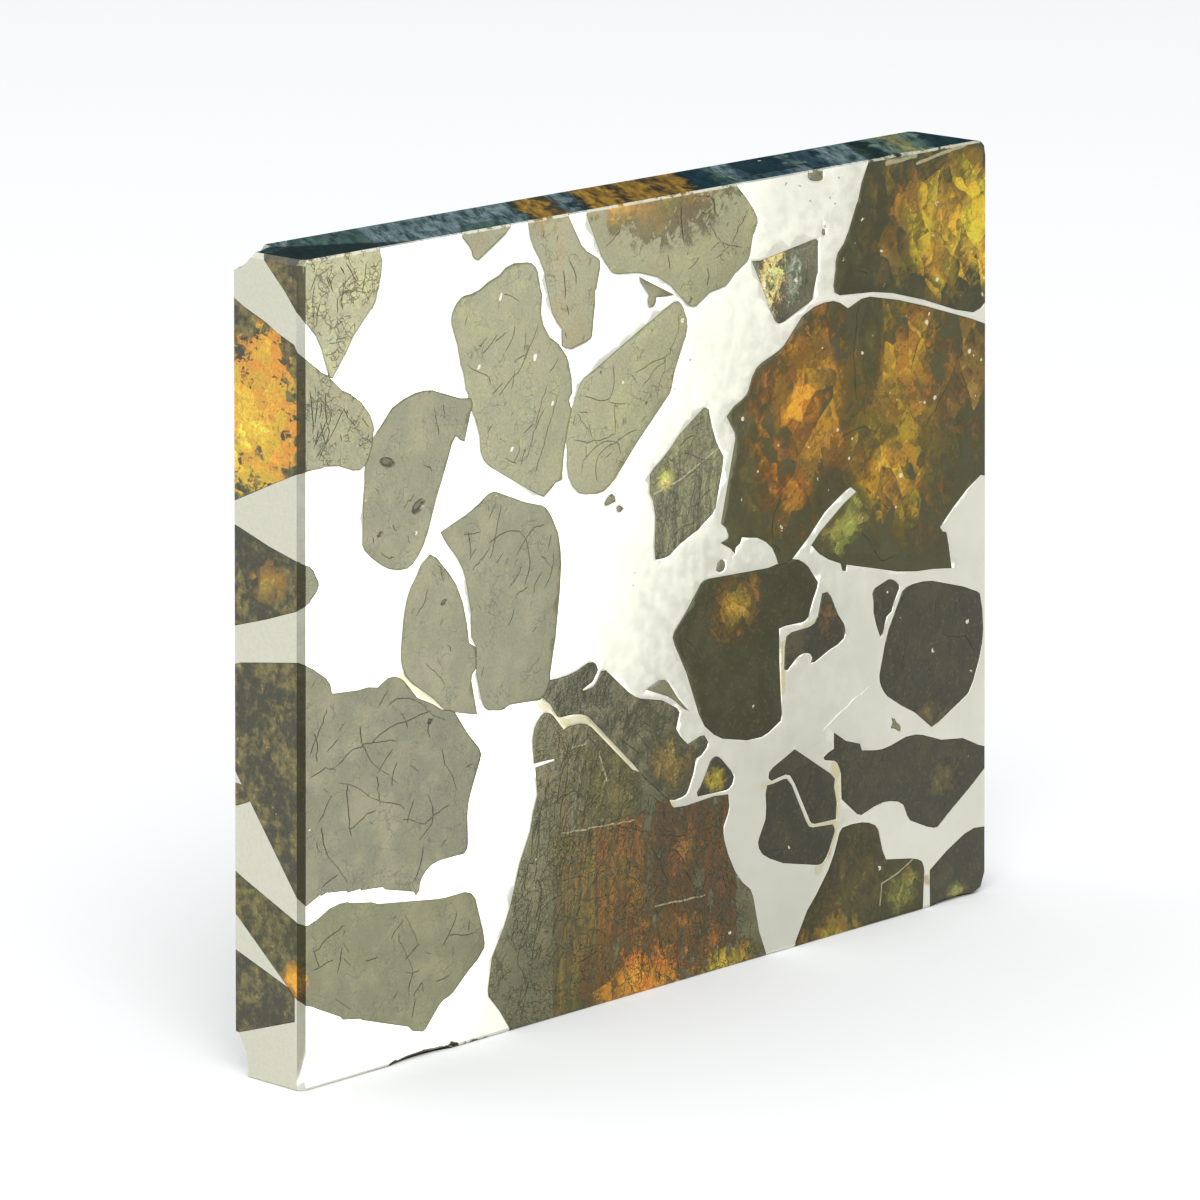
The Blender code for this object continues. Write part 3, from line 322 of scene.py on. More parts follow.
def top_colour_and_reflection(s, at, inside, metal):
    """The streaked tones of the sawn top: partly the crystals' colour, partly painted reflection."""
    drift = s.times(s.minus(s.noise(at, 0.6, 6.0, 0.68), 0.5), 4.6)
    along = s.plus(s.parts(inside)[0], drift)

    def own(tone):
        # On the metal a tone is all painted reflection of the dark surroundings
        if metal:
            full = scaled_colour(tone, TOP_METAL_GAIN)
            return tuple(TOP_METAL_TINT * c + (1.0 - TOP_METAL_TINT) * sum(full) / 3 for c in full)
        return tuple(max(0.002, (c - sheen) / 1.2) for c, sheen in zip(tone, TOP_SHEEN))

    colour = own(TOP_BANDS[0][1])
    for (start, _), (_, tone) in zip(TOP_BANDS, TOP_BANDS[1:]):
        colour = s.mix(s.fade(along, start - 0.3, start + 0.3), colour, own(tone))
    # The left end is dark, up to a slanting line
    wedge = blend(s, (s.parts(at)[0], 0.657), (s.parts(at)[1], 1.0), (drift, 0.25))
    colour = s.mix(s.fade(wedge, -13.2, -13.7), colour, own(INK))
    streak = s.noise(s.stretched(inside, (1.6, 0.35, 1.0)), 1.4, 6.0, 0.72)
    return s.scaled(colour, s.fade(streak, 0.3, 0.7, 0.15, 1.95))


def flaws(s):
    """How deep in a crack or a pit of the mesh a point is, from 0 to 1."""
    return s.node("Attribute", attribute_name="flaw").outputs["Fac"]


def make_metal():
    """Polished nickel-iron: faintly wavy and scratched, stained in places, satin on its sawn edges."""
    s = Shade("nickel_iron")
    at = s.position()
    edge = side_faces(s)
    colour = s.mix(s.fade(s.noise(at, 0.35, 2.0), 0.35, 0.7), METAL, tuple(0.94 * c for c in METAL))
    fine = s.noise(at, 6.0, 2.0)
    wobbly = s.shifted(at, 2.0, 0.3)
    for x, z, size in STAINS:
        near = zone(s, wobbly, (x, FRONT, z), (size, 1.2, size * 1.2))
        colour = s.mix(s.times(near, 0.75), colour, STAIN)
    for start, end, reach, pale_by in CREAM_VEINS:
        vein = s.times(near_line(s, at, start, end, reach), 0.85)
        colour = s.mix(vein, colour, scaled_colour(CREAM, (pale_by,) * 3))
    # Painted shadow in the broken places at the foot of the front
    in_front = s.fade(s.parts(at)[1], -1.0, -1.6)
    for start, end, reach in SHADOWED_CHIPS:
        colour = s.mix(s.times(near_line(s, wobbly, start, end, reach), in_front), colour, CHIP_SHADOW)
    for x, z in MARKS:
        mark = zone(s, wobbly, (x, FRONT, z), (0.11, 1.0, 0.08))
        colour = s.mix(s.times(mark, 0.8), colour, MARK)
    colour = s.mix(edge, colour, s.mix(s.fade(fine, 0.35, 0.7), SAWN_METAL, SAWN_METAL_DULL))
    # Painted reflection of the dark surroundings on the sawn top
    colour = s.mix(top_faces(s), colour, top_colour_and_reflection(s, at, straightened(s, at), True))
    colour = s.mix(s.times(flaws(s), 0.6), colour, METAL_CRACK)
    rough = s.fade(s.noise(at, 1.3, 2.0), 0.3, 0.7, 0.13, 0.2)
    rough = s.plus(rough, s.times(edge, 0.2))
    scratch = s.noise(s.stretched(at, (0.25, 1.0, 9.0), 0.6), 1.4, 3.0, 0.7)
    bump = s.bump(s.noise(at, 0.2, 1.0), 0.018)
    bump = s.bump(scratch, 0.002, 0.9, bump)
    s.set(Base_Color=colour, Metallic=1.0, Roughness=rough, Normal=bump)
    return s.material


def facets(s, where, size, slant, squeeze):
    """Broken faces inside a crystal: each has a level of its own, which also drifts across it."""
    turned = s.stretched(where, (1.0, 0.5, squeeze), slant)
    cell = s.cells(turned, 1.0 / size)
    own = cell.outputs["Color"]
    offset = s.scaled(s.vector("SUBTRACT", turned, cell.outputs["Position"]), 1.0 / size)
    drift = s.vector("DOT_PRODUCT", offset, s.vector("SUBTRACT", own, (0.5, 0.5, 0.5)))
    return s.plus(s.parts(own)[0], s.times(drift, 2.0)), s.parts(own)[2]


def spots(s, where, scale, small, large, share):
    """Scattered round spots of mixed sizes. The share is how many of the places have one."""
    places = s.cells(where, scale)
    own = s.parts(places.outputs["Color"])
    size = s.math("FRACT", s.times(own[0], 5.7))
    radius = s.fade(s.math("POWER", size, 2.0), 0.0, 1.0, small, large)
    near = s.math("LESS_THAN", places.outputs["Distance"], radius)
    draw = s.math("FRACT", s.times(own[2], 7.3))
    shown = s.times(near, s.fade(size, 0.0, 1.0, 0.45, 1.0))
    return s.times(shown, s.math("LESS_THAN", draw, share))


def blend(s, *parts):
    """A sum of values with their weights."""
    total = 0.0
    for value, weight in parts:
        total = s.plus(total, s.times(value, weight))
    return total


def glow(s, colour, reach, level, hue, tint, strength, dim):
    """Lets a tint shine out of the body: dim at the zone's skin and on dark facets, bright inside."""
    lift = s.times(s.minus(level, 0.5), s.fade(reach, 0.0, 0.3, 0.0, 1.9))
    value = s.plus(s.times(reach, 1.3), lift)
    redder, greener = scaled_colour(tint, (1.04, 0.84, 1.0)), scaled_colour(tint, (0.95, 1.2, 1.1))
    warm = s.mix(s.fade(hue, 0.2, 0.8), redder, greener)
    steps = ((0.05, 0.35, s.scaled(warm, dim)), (0.3, 0.65, s.scaled(warm, 0.45 + 0.45 * dim)),
             (0.6, 0.95, warm), (1.12, 1.45, scaled_colour(tint, (1.45, 1.6, 2.0), 0.08)))
    for low, high, own in steps:
        colour = s.mix(s.times(s.fade(value, low, high), strength), colour, own)
    return colour


def broken_levels(s, inside, bent, size):
    """How bright the broken inside is here, from facets of three sizes and a cloud, and its hue."""
    big, hue = facets(s, bent, size * 2.6, 0.45, 0.6)
    middle, hue_b = facets(s, bent, size, -0.6, 0.55)
    small, _ = facets(s, inside, size * 0.36, 0.9, 0.7)
    cloud = s.noise(bent, 0.8, 4.0, 0.7)
    level = blend(s, (big, 0.26), (middle, 0.24), (small, 0.15), (cloud, 0.85))
    return s.minus(level, 0.25), blend(s, (hue, 0.5), (hue_b, 0.5))


def crystal_body(s, inside, bent, level, patches, look):
    """The plain body: two colours in patches, with tan clouds and stripes in some crystals."""
    pattern = blend(s, (patches, 0.6), (level, 0.4))
    colour = s.mix(s.fade(pattern, 0.42, 0.66), look["body"], look["second"])
    if look["tan"]:
        tan = s.fade(s.noise(bent, look["tan_scale"], 2.0, 0.55), 0.44, 0.68, 0.0, look["tan"])
        colour = s.mix(tan, colour, TAN)
    if look["stripes"]:
        stripe = s.noise(s.stretched(bent, (1.9, 0.5, 0.16), 0.1), 1.1, 4.0, 0.65)
    for x, z, wide, high, tint, strength in look["stripes"]:
        here = zone(s, inside, (x, 0, z), (wide, ALL_THROUGH, high), 0.3)
        shown = s.times(s.fade(stripe, 0.42, 0.6), here)
        colour = s.mix(s.times(shown, strength), colour, tint)
    return colour


def sawn_colour(s, at, flecks):
    """A crystal's sawn edge: dark, with grains of gold and glints in them."""
    grain = s.noise(at, 1.9, 4.0, 0.7)
    cluster = s.fade(s.noise(at, 0.45, 1.0), 0.38, 0.6, -0.07, 0.06)
    gold = s.plus(grain, cluster)
    glint = s.times(s.fade(flecks, 0.6, 0.68), s.fade(gold, 0.5, 0.6))
    return s.mix(glint, s.mix(s.fade(gold, 0.40, 0.72), EDGE_DARK, EDGE_GOLD), EDGE_GLINT)


def lit_zones(s, colour, inside, bent, level, hue, look):
    """The panels and zones that glow out of the body."""
    if look["panels"]:
        stripe = s.noise(s.stretched(bent, (2.2, 0.5, 0.12), 0.06), 1.0, 5.0, 0.68)
        striped = s.minus(blend(s, (level, 0.5), (stripe, 1.3)), 0.4)
    for sides, tint, strength in look["panels"]:
        reach = s.times(panel(s, bent, *sides), 0.5)
        colour = glow(s, colour, reach, striped, hue, tint, strength, look["dim"])
    through = [((x, 0, z), (wide, ALL_THROUGH, high), *rest) for x, z, wide, high, *rest in look["zones"]]
    for centre, radii, tint, strength in (*look["pockets"], *through):
        reach = zone(s, inside, centre, radii, 1.0)
        colour = glow(s, colour, reach, level, hue, tint, strength, look["dim"])
    return colour


def drawn_marks(s, colour, inside, bent, look):
    """Pale seams and dots, each at its own place."""
    if look["seams"]:
        steady = s.shifted(inside, 1.5, 0.09, 3.0)
    for start, end, reach in look["seams"]:
        colour = s.mix(s.times(near_line(s, steady, start, end, reach), 0.75), colour, SEAM)
    for x, z, radius in look["dots"]:
        colour = s.mix(near_line(s, bent, (x, z), (x + 0.04, z + 0.12), radius), colour, DOT)
    return colour


def crystal_top(s, colour, at, inside, edge):
    """The tones of a crystal's sawn top, partly painted reflection, and the thin pale line under its edge.
    """
    colour = s.mix(top_faces(s), colour, top_colour_and_reflection(s, at, inside, False))
    under_edge = s.fade(s.parts(at)[2], 39.90, 39.95)
    thin = s.times(under_edge, s.fade(s.noise(at, 1.2, 3.0), 0.36, 0.44))
    return s.mix(s.times(thin, s.fade(edge, 1.0, 0.5)), colour, RIM)


def scattered_marks(s, colour, at, inside, flecks, level, patches, look):
    """Flecks, a fine mottle, and bright dots in the brighter patches that are painted glints."""
    fleck = s.times(s.fade(flecks, 0.56, 0.66), look["flecks"])
    colour = s.mix(fleck, colour, look["fleck_colour"])
    colour = s.scaled(colour, s.fade(s.noise(at, 7.0, 2.0, 0.7), 0.3, 0.7, 0.79, 1.07))
    # Painted glints: bright dots, more of them on the brighter facets and patches
    share = s.times(s.fade(level, 0.42, 0.62), look["specks"])
    share = s.times(s.fade(patches, 0.44, 0.58), share)
    return s.mix(s.times(spots(s, inside, 2.3, 0.08, 0.32, share), 0.9), colour, GLINT_SPECK)


def hair_lines(s, at, edge, look):
    """Pocks and a broken net of hair cracks, fainter on the sawn edges."""
    hair = 0.0
    if look["pocks"]:
        leaning = s.stretched(at, (1.0, 1.0, 0.45), 0.6)
        hair = s.times(spots(s, leaning, 2.0, 0.03, 0.17, look["pocks"]), 0.6)
    net, size = look["net"], look["web_scale"]
    webs = ((size, 0.020, 0.5 - net), (size * 2.3, 0.030, 0.54 - net)) if look["web"] else ()
    for scale, width, low in webs:
        wavy = s.shifted(at, scale * 1.3, 0.45 / scale)
        web = s.cells(wavy, scale, "DISTANCE_TO_EDGE")
        wide = width * look["web_width"]
        line = s.fade(web.outputs["Distance"], wide, 0.35 * wide)
        here = s.fade(s.noise(at, 0.8, 2.0), low, low + 0.06)
        hair = s.math("MAXIMUM", hair, s.times(s.times(line, here), look["web"]))
    return s.times(hair, s.fade(edge, 0.0, 1.0, 1.0, 0.15))


def crystal_bump(s, at, edge, hair, look):
    """Waves and ripples in the polish, hair cracks pressed into it, and grain on the sawn edges."""
    bump = s.bump(s.noise(at, 0.5, 1.0), look["wave"])
    bump = s.bump(s.noise(at, 2.6, 2.0, 0.6), look["ripple"], 1.0, bump)
    if look["emboss"]:
        bump = s.bump(s.fade(hair, 0.0, 1.0, 1.0, 0.0), look["emboss"], 1.0, bump)
    if look["rim"]:
        bump = s.bump(s.times(edge, s.noise(at, 1.9, 3.0, 0.7)), 0.05, 1.0, bump)
    return bump


def make_olivine(name, look):
    """Olivine: a dark clear body with glowing broken zones, flaws inside and fine cracks in its polish."""
    s = Shade(name)
    at = s.position()
    inside = straightened(s, at)
    bent = s.shifted(inside, 0.9, 0.3, 3.0)
    edge = side_faces(s)
    level, hue = broken_levels(s, inside, bent, look["facet"])
    patches = s.noise(bent, 0.55, 2.0, 0.6)
    flecks = s.noise(at, 4.5, 3.0, 0.75)

    colour = crystal_body(s, inside, bent, level, patches, look)
    if look["rim"]:
        colour = s.mix(edge, colour, sawn_colour(s, at, flecks))
    colour = lit_zones(s, colour, inside, bent, level, hue, look)
    if look["rim"]:
        colour = s.mix(s.times(chamfers(s), 0.85), colour, CHAMFER)
    colour = drawn_marks(s, colour, inside, bent, look)
    if look["top"]:
        colour = crystal_top(s, colour, at, inside, edge)
    colour = scattered_marks(s, colour, at, inside, flecks, level, patches, look)
    hair = hair_lines(s, at, edge, look)
    crack = s.times(s.fade(flaws(s), 0.15, 0.75), 0.8)
    colour = s.mix(s.math("MAXIMUM", hair, crack), colour, CRACK)

    rough = s.fade(patches, 0.3, 0.7, 0.08, 0.17)
    rough = s.plus(rough, s.times(s.math("MAXIMUM", edge, flaws(s)), 0.2))
    s.set(Base_Color=colour, Roughness=rough, Normal=crystal_bump(s, at, edge, hair, look))
    s.set(IOR=1.67, Transmission_Weight=look["clear"], Specular_IOR_Level=look["gloss"])
    s.shader.inputs["Specular Tint"].default_value = (1.0, 1.0, look["veil_blue"], 1.0)
    return s.material


def scaled_colour(colour, factors, lift=0.0):
    """A colour times a factor for each part, with some warm light added."""
    return tuple(min(1.0, c * f + lift * k) for c, f, k in zip(colour, factors, (1.0, 0.9, 0.15)))


def placed(data):
    """An object in the scene that shows the data and bears its name."""
    made = bpy.data.objects.new(data.name, data)
    bpy.context.scene.collection.objects.link(made)
    return made


def sheet(name, corners):
    """A flat sheet between four corners."""
    mesh = bpy.data.meshes.new(name)
    mesh.from_pydata([Vector(c) * MM for c in corners], [], [(0, 1, 2, 3)])
    return placed(mesh)


def welded(node):
    """A solid's mesh in millimetres, with its split corners joined again."""
    shape = bmesh.new()
    shape.from_mesh(node.data)
    shape.verts.layers.float.new("flaw")
    shape.transform(Matrix.Scale(1 / MM, 4))
    bmesh.ops.remove_doubles(shape, verts=shape.verts, dist=WELD)
    return shape


def left_edge(z):
    return -25.0 + 0.5 * z / HEIGHT


def right_edge(z):
    return 25.05 - 0.65 * z / HEIGHT


def at_rim(x, z):
    """True near the plate's own outer edges, which stay as the solid has them."""
    return x < left_edge(z) + 0.45 or x > right_edge(z) - 0.2 or z < 0.2 or z > HEIGHT - 0.2


def wander(rng, start, heading, length, keep_inside):
    """A crack's line: a walk that wavers about its heading and stops at the crystal's edge."""
    points = [start]
    step = 0.22
    bend = rng.gauss(0.0, 0.05)
    x, z = start
    for _ in range(int(length / step)):
        heading += bend + rng.gauss(0.0, 0.12)
        if rng.random() < 0.06:
            heading += rng.choice((-0.6, 0.6))
        x += math.cos(heading) * step
        z += math.sin(heading) * step
        if not keep_inside(x, z):
            break
        points.append((x, z))
    return points


def tree_of(places):
    """A tree that finds how far the nearest of the places is."""
    tree = kdtree.KDTree(len(places))
    for i, place in enumerate(places):
        tree.insert(place, i)
    tree.balance()
    return tree


def crack_rows(crack):
    """A crack's points: one at each tip, and three across it elsewhere."""
    rows = []
    last = len(crack) - 1
    for i, (x, z) in enumerate(crack):
        before, after = crack[max(0, i - 1)], crack[min(last, i + 1)]
        way = Vector((after[0] - before[0], after[1] - before[1]))
        if way.length < TINY:
            continue
        way.normalize()
        across_x, across_z = way.y * SIDE_CRACK, way.x * SIDE_CRACK
        sides = [(x - across_x, z + across_z), (x + across_x, z - across_z)]
        rows.append([(x, z)] if i in (0, last) else [(x, z), *sides])
    return rows


def crack_places(cracks):
    """Places close together along the cracks, short of their tips, and one far off."""
    places = []
    for crack in cracks:
        for (x0, z0), (x1, z1) in zip(crack[1:-2], crack[2:-1]):
            places += [(x0 + (x1 - x0) * k / 6, 0.0, z0 + (z1 - z0) * k / 6) for k in range(6)]
    return [*places, (FAR_OFF, 0.0, FAR_OFF)]


def pit_points(x, z, wide, high, deep, turn):
    """Rings of points that the hollow of a pit needs."""
    points = []
    for ring, spread in ((0.0, 1), (0.4, 8), (0.75, 14), (1.0, 18)):
        for k in range(spread):
            angle = 2 * math.pi * k / spread
            u, w = ring * wide * math.cos(angle), ring * high * math.sin(angle)
            points.append(Vector((x + u * math.cos(turn) - w * math.sin(turn),
                                  z + u * math.sin(turn) + w * math.cos(turn))))
    return points


class FlatSide:
    """The flat front or back of a solid: knows what is inside it, and fills it again with detail."""

    def __init__(self, shape, plane):
        self.shape = shape
        self.plane = plane
        self.inward = 1.0 if plane < 0 else -1.0
        self.cap = [f for f in shape.faces if all(abs(v.co.y - plane) < FLAT for v in f.verts)]
        inside = set(self.cap)
        self.border = [e for f in self.cap for e in f.edges if any(g not in inside for g in e.link_faces)]
        self.tree = bvhtree.BVHTree.FromPolygons([v.co[:] for v in shape.verts],
                                                 [[v.index for v in f.verts] for f in self.cap])
        samples = []
        for edge in self.border:
            a, b = (v.co for v in edge.verts)
            count = max(1, int((b - a).length / 0.08))
            samples += [a.lerp(b, k / count) for k in range(count)]
        self.rim = tree_of([(p.x, 0.0, p.z) for p in samples])

    def holds(self, x, z):
        start = Vector((x, self.plane - 5 * self.inward, z))
        return self.tree.ray_cast(start, Vector((0.0, self.inward, 0.0)))[0] is not None

    def to_rim(self, x, z):
        return self.rim.find((x, 0.0, z))[2]

    def deep_inside(self, x, z, margin=0.12):
        return self.holds(x, z) and self.to_rim(x, z) > margin

    def border_points(self):
        """Points inside the border, where its rounding starts and ends."""
        points = []
        for edge in self.border:
            a, b = (v.co for v in edge.verts)
            across = Vector((b.z - a.z, a.x - b.x))
            if across.length < TINY:
                continue
            across.normalize()
            for offset, base, way in product((RING_NEAR, RING_FAR), (a, (a + b) / 2), (1, -1)):
                x, z = base.x + way * across.x * offset, base.z + way * across.y * offset
                if self.holds(x, z) and self.to_rim(x, z) > 0.85 * offset:
                    points.append(Vector((x, z)))
        return points

    def grid_points(self, points, lines, rng):
        """Points on a shaken grid, clear of the border and the cracks."""
        made = []
        low_x, high_x = min(p.x for p in points), max(p.x for p in points)
        z, high_z = min(p.y for p in points), max(p.y for p in points)
        while z < high_z:
            x = low_x
            while x < high_x:
                px, pz = x + rng.uniform(-GRID_SHAKE, GRID_SHAKE), z + rng.uniform(-GRID_SHAKE, GRID_SHAKE)
                if self.deep_inside(px, pz, 0.3) and lines.find((px, 0.0, pz))[2] > 0.12:
                    made.append(Vector((px, pz)))
                x += GRID
            z += GRID
        return made

    def sunken(self, x, z, kind, lines, pits):
        """How deep the surface lies here, and how far the place is in a flaw, from 0 to 1."""
        rounding = max(0.0, 1.0 - self.to_rim(x, z) / RING_FAR)
        depth = 0.0 if at_rim(x, z) else BORDER_DROP[kind] * 0.25 * rounding
        flaw = max(0.0, 1.0 - lines.find((x, 0.0, z))[2] / CRACK_REACH)
        depth += flaw * CRACK_DEPTH * (0.2 if kind == "metal" else 1.0)
        for pit_x, pit_z, wide, high, deep, turn in pits:
            du, dw = x - pit_x, z - pit_z
            u = (du * math.cos(turn) + dw * math.sin(turn)) / wide
            w = (-du * math.sin(turn) + dw * math.cos(turn)) / high
            reach = 1.0 - math.hypot(u, w)
            if reach > 0.0:
                depth += deep * min(1.0, reach * 3.0)
                flaw = max(flaw, min(0.6, reach * 4.0))
        depth += UNEVEN * noise.noise((x * 0.8, self.plane, z * 0.8))
        return max(0.0, depth), flaw * (0.3 if kind == "metal" else 1.0)

    def refill(self, kind, cracks, pits, rng):
        """Replaces the flat cap by a fine one with rounded borders, cracks and pits."""
        ends = {v.index: v for edge in self.border for v in edge.verts}
        order = list(ends)
        place = {index: i for i, index in enumerate(order)}
        points = [Vector((v.co.x, v.co.z)) for v in ends.values()]
        links = [(place[e.verts[0].index], place[e.verts[1].index]) for e in self.border]
        points += self.border_points()
        for crack in cracks:
            previous = None
            for row in crack_rows(crack):
                numbers = range(len(points), len(points) + len(row))
                points += [Vector(p) for p in row]
                for k in range(3) if previous is not None else ():
                    links.append((previous[min(k, len(previous) - 1)], numbers[min(k, len(numbers) - 1)]))
                previous = numbers
        lines = tree_of(crack_places(cracks))
        for pit in pits:
            points += pit_points(*pit)
        points += self.grid_points(points, lines, rng)
        made = geometry.delaunay_2d_cdt(points, links, [], 0, 1e-5)
        coords, faces, origins = made[0], made[2], made[3]
        flaw = self.shape.verts.layers.float["flaw"]
        corners = []
        for p, source in zip(coords, origins):
            old = [i for i in source if i < len(order)]
            if old:
                v = ends[order[old[0]]]
                if not at_rim(p.x, p.y):
                    v.co.y = self.plane + self.inward * BORDER_DROP[kind]
            else:
                depth, in_flaw = self.sunken(p.x, p.y, kind, lines, pits)
                v = self.shape.verts.new((p.x, self.plane + self.inward * depth, p.y))
                v[flaw] = in_flaw
            corners.append(v)
        bmesh.ops.delete(self.shape, geom=self.cap, context="FACES_ONLY")
        for face in faces:
            centre = sum((coords[i] for i in face), Vector((0.0, 0.0))) / len(face)
            ring = [corners[i] for i in face]
            fresh = len(set(ring)) == 3 and self.shape.faces.get(ring) is None
            if fresh and self.holds(centre.x, centre.y):
                self.shape.faces.new(ring)


def dense(line, rng, wobble=0.04):
    """A drawn line with points close together and a slight waver."""
    points = []
    step = 0.25 if math.dist(line[0], line[-1]) > 2.0 else 0.14
    for (x0, z0), (x1, z1) in zip(line, line[1:]):
        steps = max(1, int(math.hypot(x1 - x0, z1 - z0) / step))
        for k in range(steps):
            t = k / steps
            points.append((x0 + (x1 - x0) * t + rng.gauss(0, wobble),
                           z0 + (z1 - z0) * t + rng.gauss(0, wobble)))
    points.append(line[-1])
    return points


def draw_cracks(side, look, rng, drawn):
    """The lines of the cracks on one side: those drawn one by one, and others scattered about."""
    lines = []
    for line in drawn:
        inner = [p for p in dense(line, rng) if side.deep_inside(*p)]
        if len(inner) > 2:
            lines.append(inner)
    area = sum(f.calc_area() for f in side.cap)
    corners = [v.co for f in side.cap for v in f.verts]
    low_x, high_x = min(c.x for c in corners), max(c.x for c in corners)
    low_z, high_z = min(c.z for c in corners), max(c.z for c in corners)
    for _ in range(int(area * look["cracks"])):
        for _ in range(12):
            start = (rng.uniform(low_x, high_x), rng.uniform(low_z, high_z))
            if side.deep_inside(*start, 0.2):
                break
        else:
            continue
        heading = rng.uniform(0, 2 * math.pi)
        if look["heading"] is not None and rng.random() < 0.75:
            heading = math.radians(look["heading"]) + rng.gauss(0, 0.25)
        length = min(5.5, 0.7 + rng.expovariate(0.8))
        line = wander(rng, start, heading, length, side.deep_inside)
        if len(line) > 2:
            lines.append(line)
    return lines


def polished(node, look, kind):
    """A finer copy of a solid: its front and back have cracks, pits and rounded borders."""
    rng = random.Random(node.name)
    shape = welded(node)
    for plane in (FRONT, BACK):
        shape.verts.index_update()
        shape.verts.ensure_lookup_table()
        side = FlatSide(shape, plane)
        if not side.cap:
            continue
        front = plane == FRONT
        cracks = draw_cracks(side, look, rng, look["lines"] if front else ())
        side.refill(kind, cracks, look["pits"] if front else (), rng)
    bmesh.ops.holes_fill(shape, edges=[e for e in shape.edges if e.is_boundary], sides=4)
    bmesh.ops.recalc_face_normals(shape, faces=shape.faces)
    flaw = shape.verts.layers.float["flaw"]
    for face in shape.faces:
        face.smooth = max(v[flaw] for v in face.verts) < 0.25
    for edge in shape.edges:
        edge.smooth = edge.calc_face_angle(0.0) < SHARP
    shape.transform(Matrix.Scale(MM, 4))
    mesh = bpy.data.meshes.new(node.name + "_polished")
    shape.to_mesh(mesh)
    shape.free()
    return placed(mesh)


def pale(level, blue=0.55):
    """The colour of veiled olivine, from its red."""
    return (level * 1.2, level * 1.18, level * 1.2 * blue)


# A crystal's look unless it says otherwise. Zones and stripes run through the slice: x, z, half
# width, half height, colour and strength. Pockets are zones with a centre and three radii. Dim is how
# bright a zone's darkest facets are. Panels are a low and a high x, a low and a high z, a colour and a
# strength. Seams are two ends and a reach, and dots a place and a radius. Web is how dark the net of hair
# cracks is, net how much of the face it takes and emboss how deep it lies. Cracks is how many sunken ones
# a square millimetre gets, and heading their angle in degrees. Lines are sunken cracks drawn one by one.
# Pits are a place, half width, half height, depth and turn.
PLAIN = dict(
    body=pale(0.13), second=pale(0.17, 0.5), zones=(), pockets=(), clear=0.3, gloss=0.5, facet=0.6,
    flecks=0.1, fleck_colour=(0.34, 0.24, 0.09), specks=0.02, web=0.7, tan=0.4, tan_scale=0.5,
    web_width=1.0, emboss=0.0, pocks=0.4, dim=0.5, veil_blue=0.78, ripple=0.004, seams=(), dots=(), net=0.0,
    panels=(), stripes=(), web_scale=0.9, wave=0.008, cracks=0.4, heading=None, lines=(), pits=(),
)
DEEP = dict(
    body=DARK, second=(0.040, 0.034, 0.010), clear=0.45, gloss=0.3, cracks=0.08, web=0.0, specks=0.03,
    tan=0.0, flecks=0.75, fleck_colour=(0.10, 0.08, 0.025), dim=0.14, veil_blue=0.82, pocks=0.0,
    ripple=0.022, wave=0.03,
)
CLOUDY = dict(DEEP, veil_blue=0.58, ripple=0.008)
LOOKS = {}


def set_look(name, base=PLAIN, **own):
    """Keeps the look of one crystal: a base look and what is its own."""
    LOOKS["olivine_" + name] = {**PLAIN, **base, **own}


set_look(
    "right_large", DEEP, body=(0.042, 0.041, 0.019), veil_blue=0.55, ripple=0.008, clear=0.5,
    second=(0.070, 0.060, 0.017), specks=0.5, facet=0.75, flecks=0.3, dim=0.22,
    lines=[[(14.6, 33.0), (14.3, 30.5), (14.5, 27.5)], [(23.4, 30.4), (21.6, 27.6), (19.6, 25.4)]],
    zones=[
        (12.6, 26.6, 10.0, 10.5, (0.18, 0.115, 0.014), 0.9),
        (19.5, 26.0, 8.5, 9.5, (0.18, 0.115, 0.014), 0.9),
        (11.2, 27.4, 6.4, 8.2, (0.54, 0.195, 0.004), 1.0),
        (18.2, 27.0, 7.4, 9.0, (0.44, 0.20, 0.004), 0.95),
        (17.6, 24.4, 5.4, 5.4, (0.50, 0.26, 0.006), 0.95),
        (11.4, 27.8, 4.2, 4.6, (0.60, 0.235, 0.004), 0.9), (13.6, 21.6, 2.8, 2.6, GREEN, 1.0),
        (22.6, 27.6, 3.4, 5.6, (0.24, 0.12, 0.012), 0.9), (15.6, 30.6, 1.3, 4.6, (0.05, 0.048, 0.012), 0.8),
        (12.6, 23.4, 2.2, 2.6, (0.05, 0.045, 0.012), 0.7),
    ],
)
set_look(
    "top_right_corner", CLOUDY, clear=0.5, second=(0.07, 0.06, 0.012), specks=0.35, facet=0.8, flecks=0.3,
    dim=0.22,
    seams=[
        ((16.7, 39.72), (18.9, 39.86), 0.15), ((19.0, 39.42), (20.6, 39.68), 0.11),
        ((20.6, 39.68), (22.8, 39.95), 0.11),
    ],
    zones=[
        (20.4, 36.8, 7.0, 6.0, (0.36, 0.20, 0.008), 0.95),
        (19.4, 37.0, 3.8, 4.0, (0.52, 0.21, 0.008), 0.95), (22.0, 36.0, 5.8, 5.2, (0.70, 0.42, 0.012), 1.0),
        (23.6, 35.8, 4.4, 4.6, (1.0, 0.64, 0.02), 1.0),
    ],
)
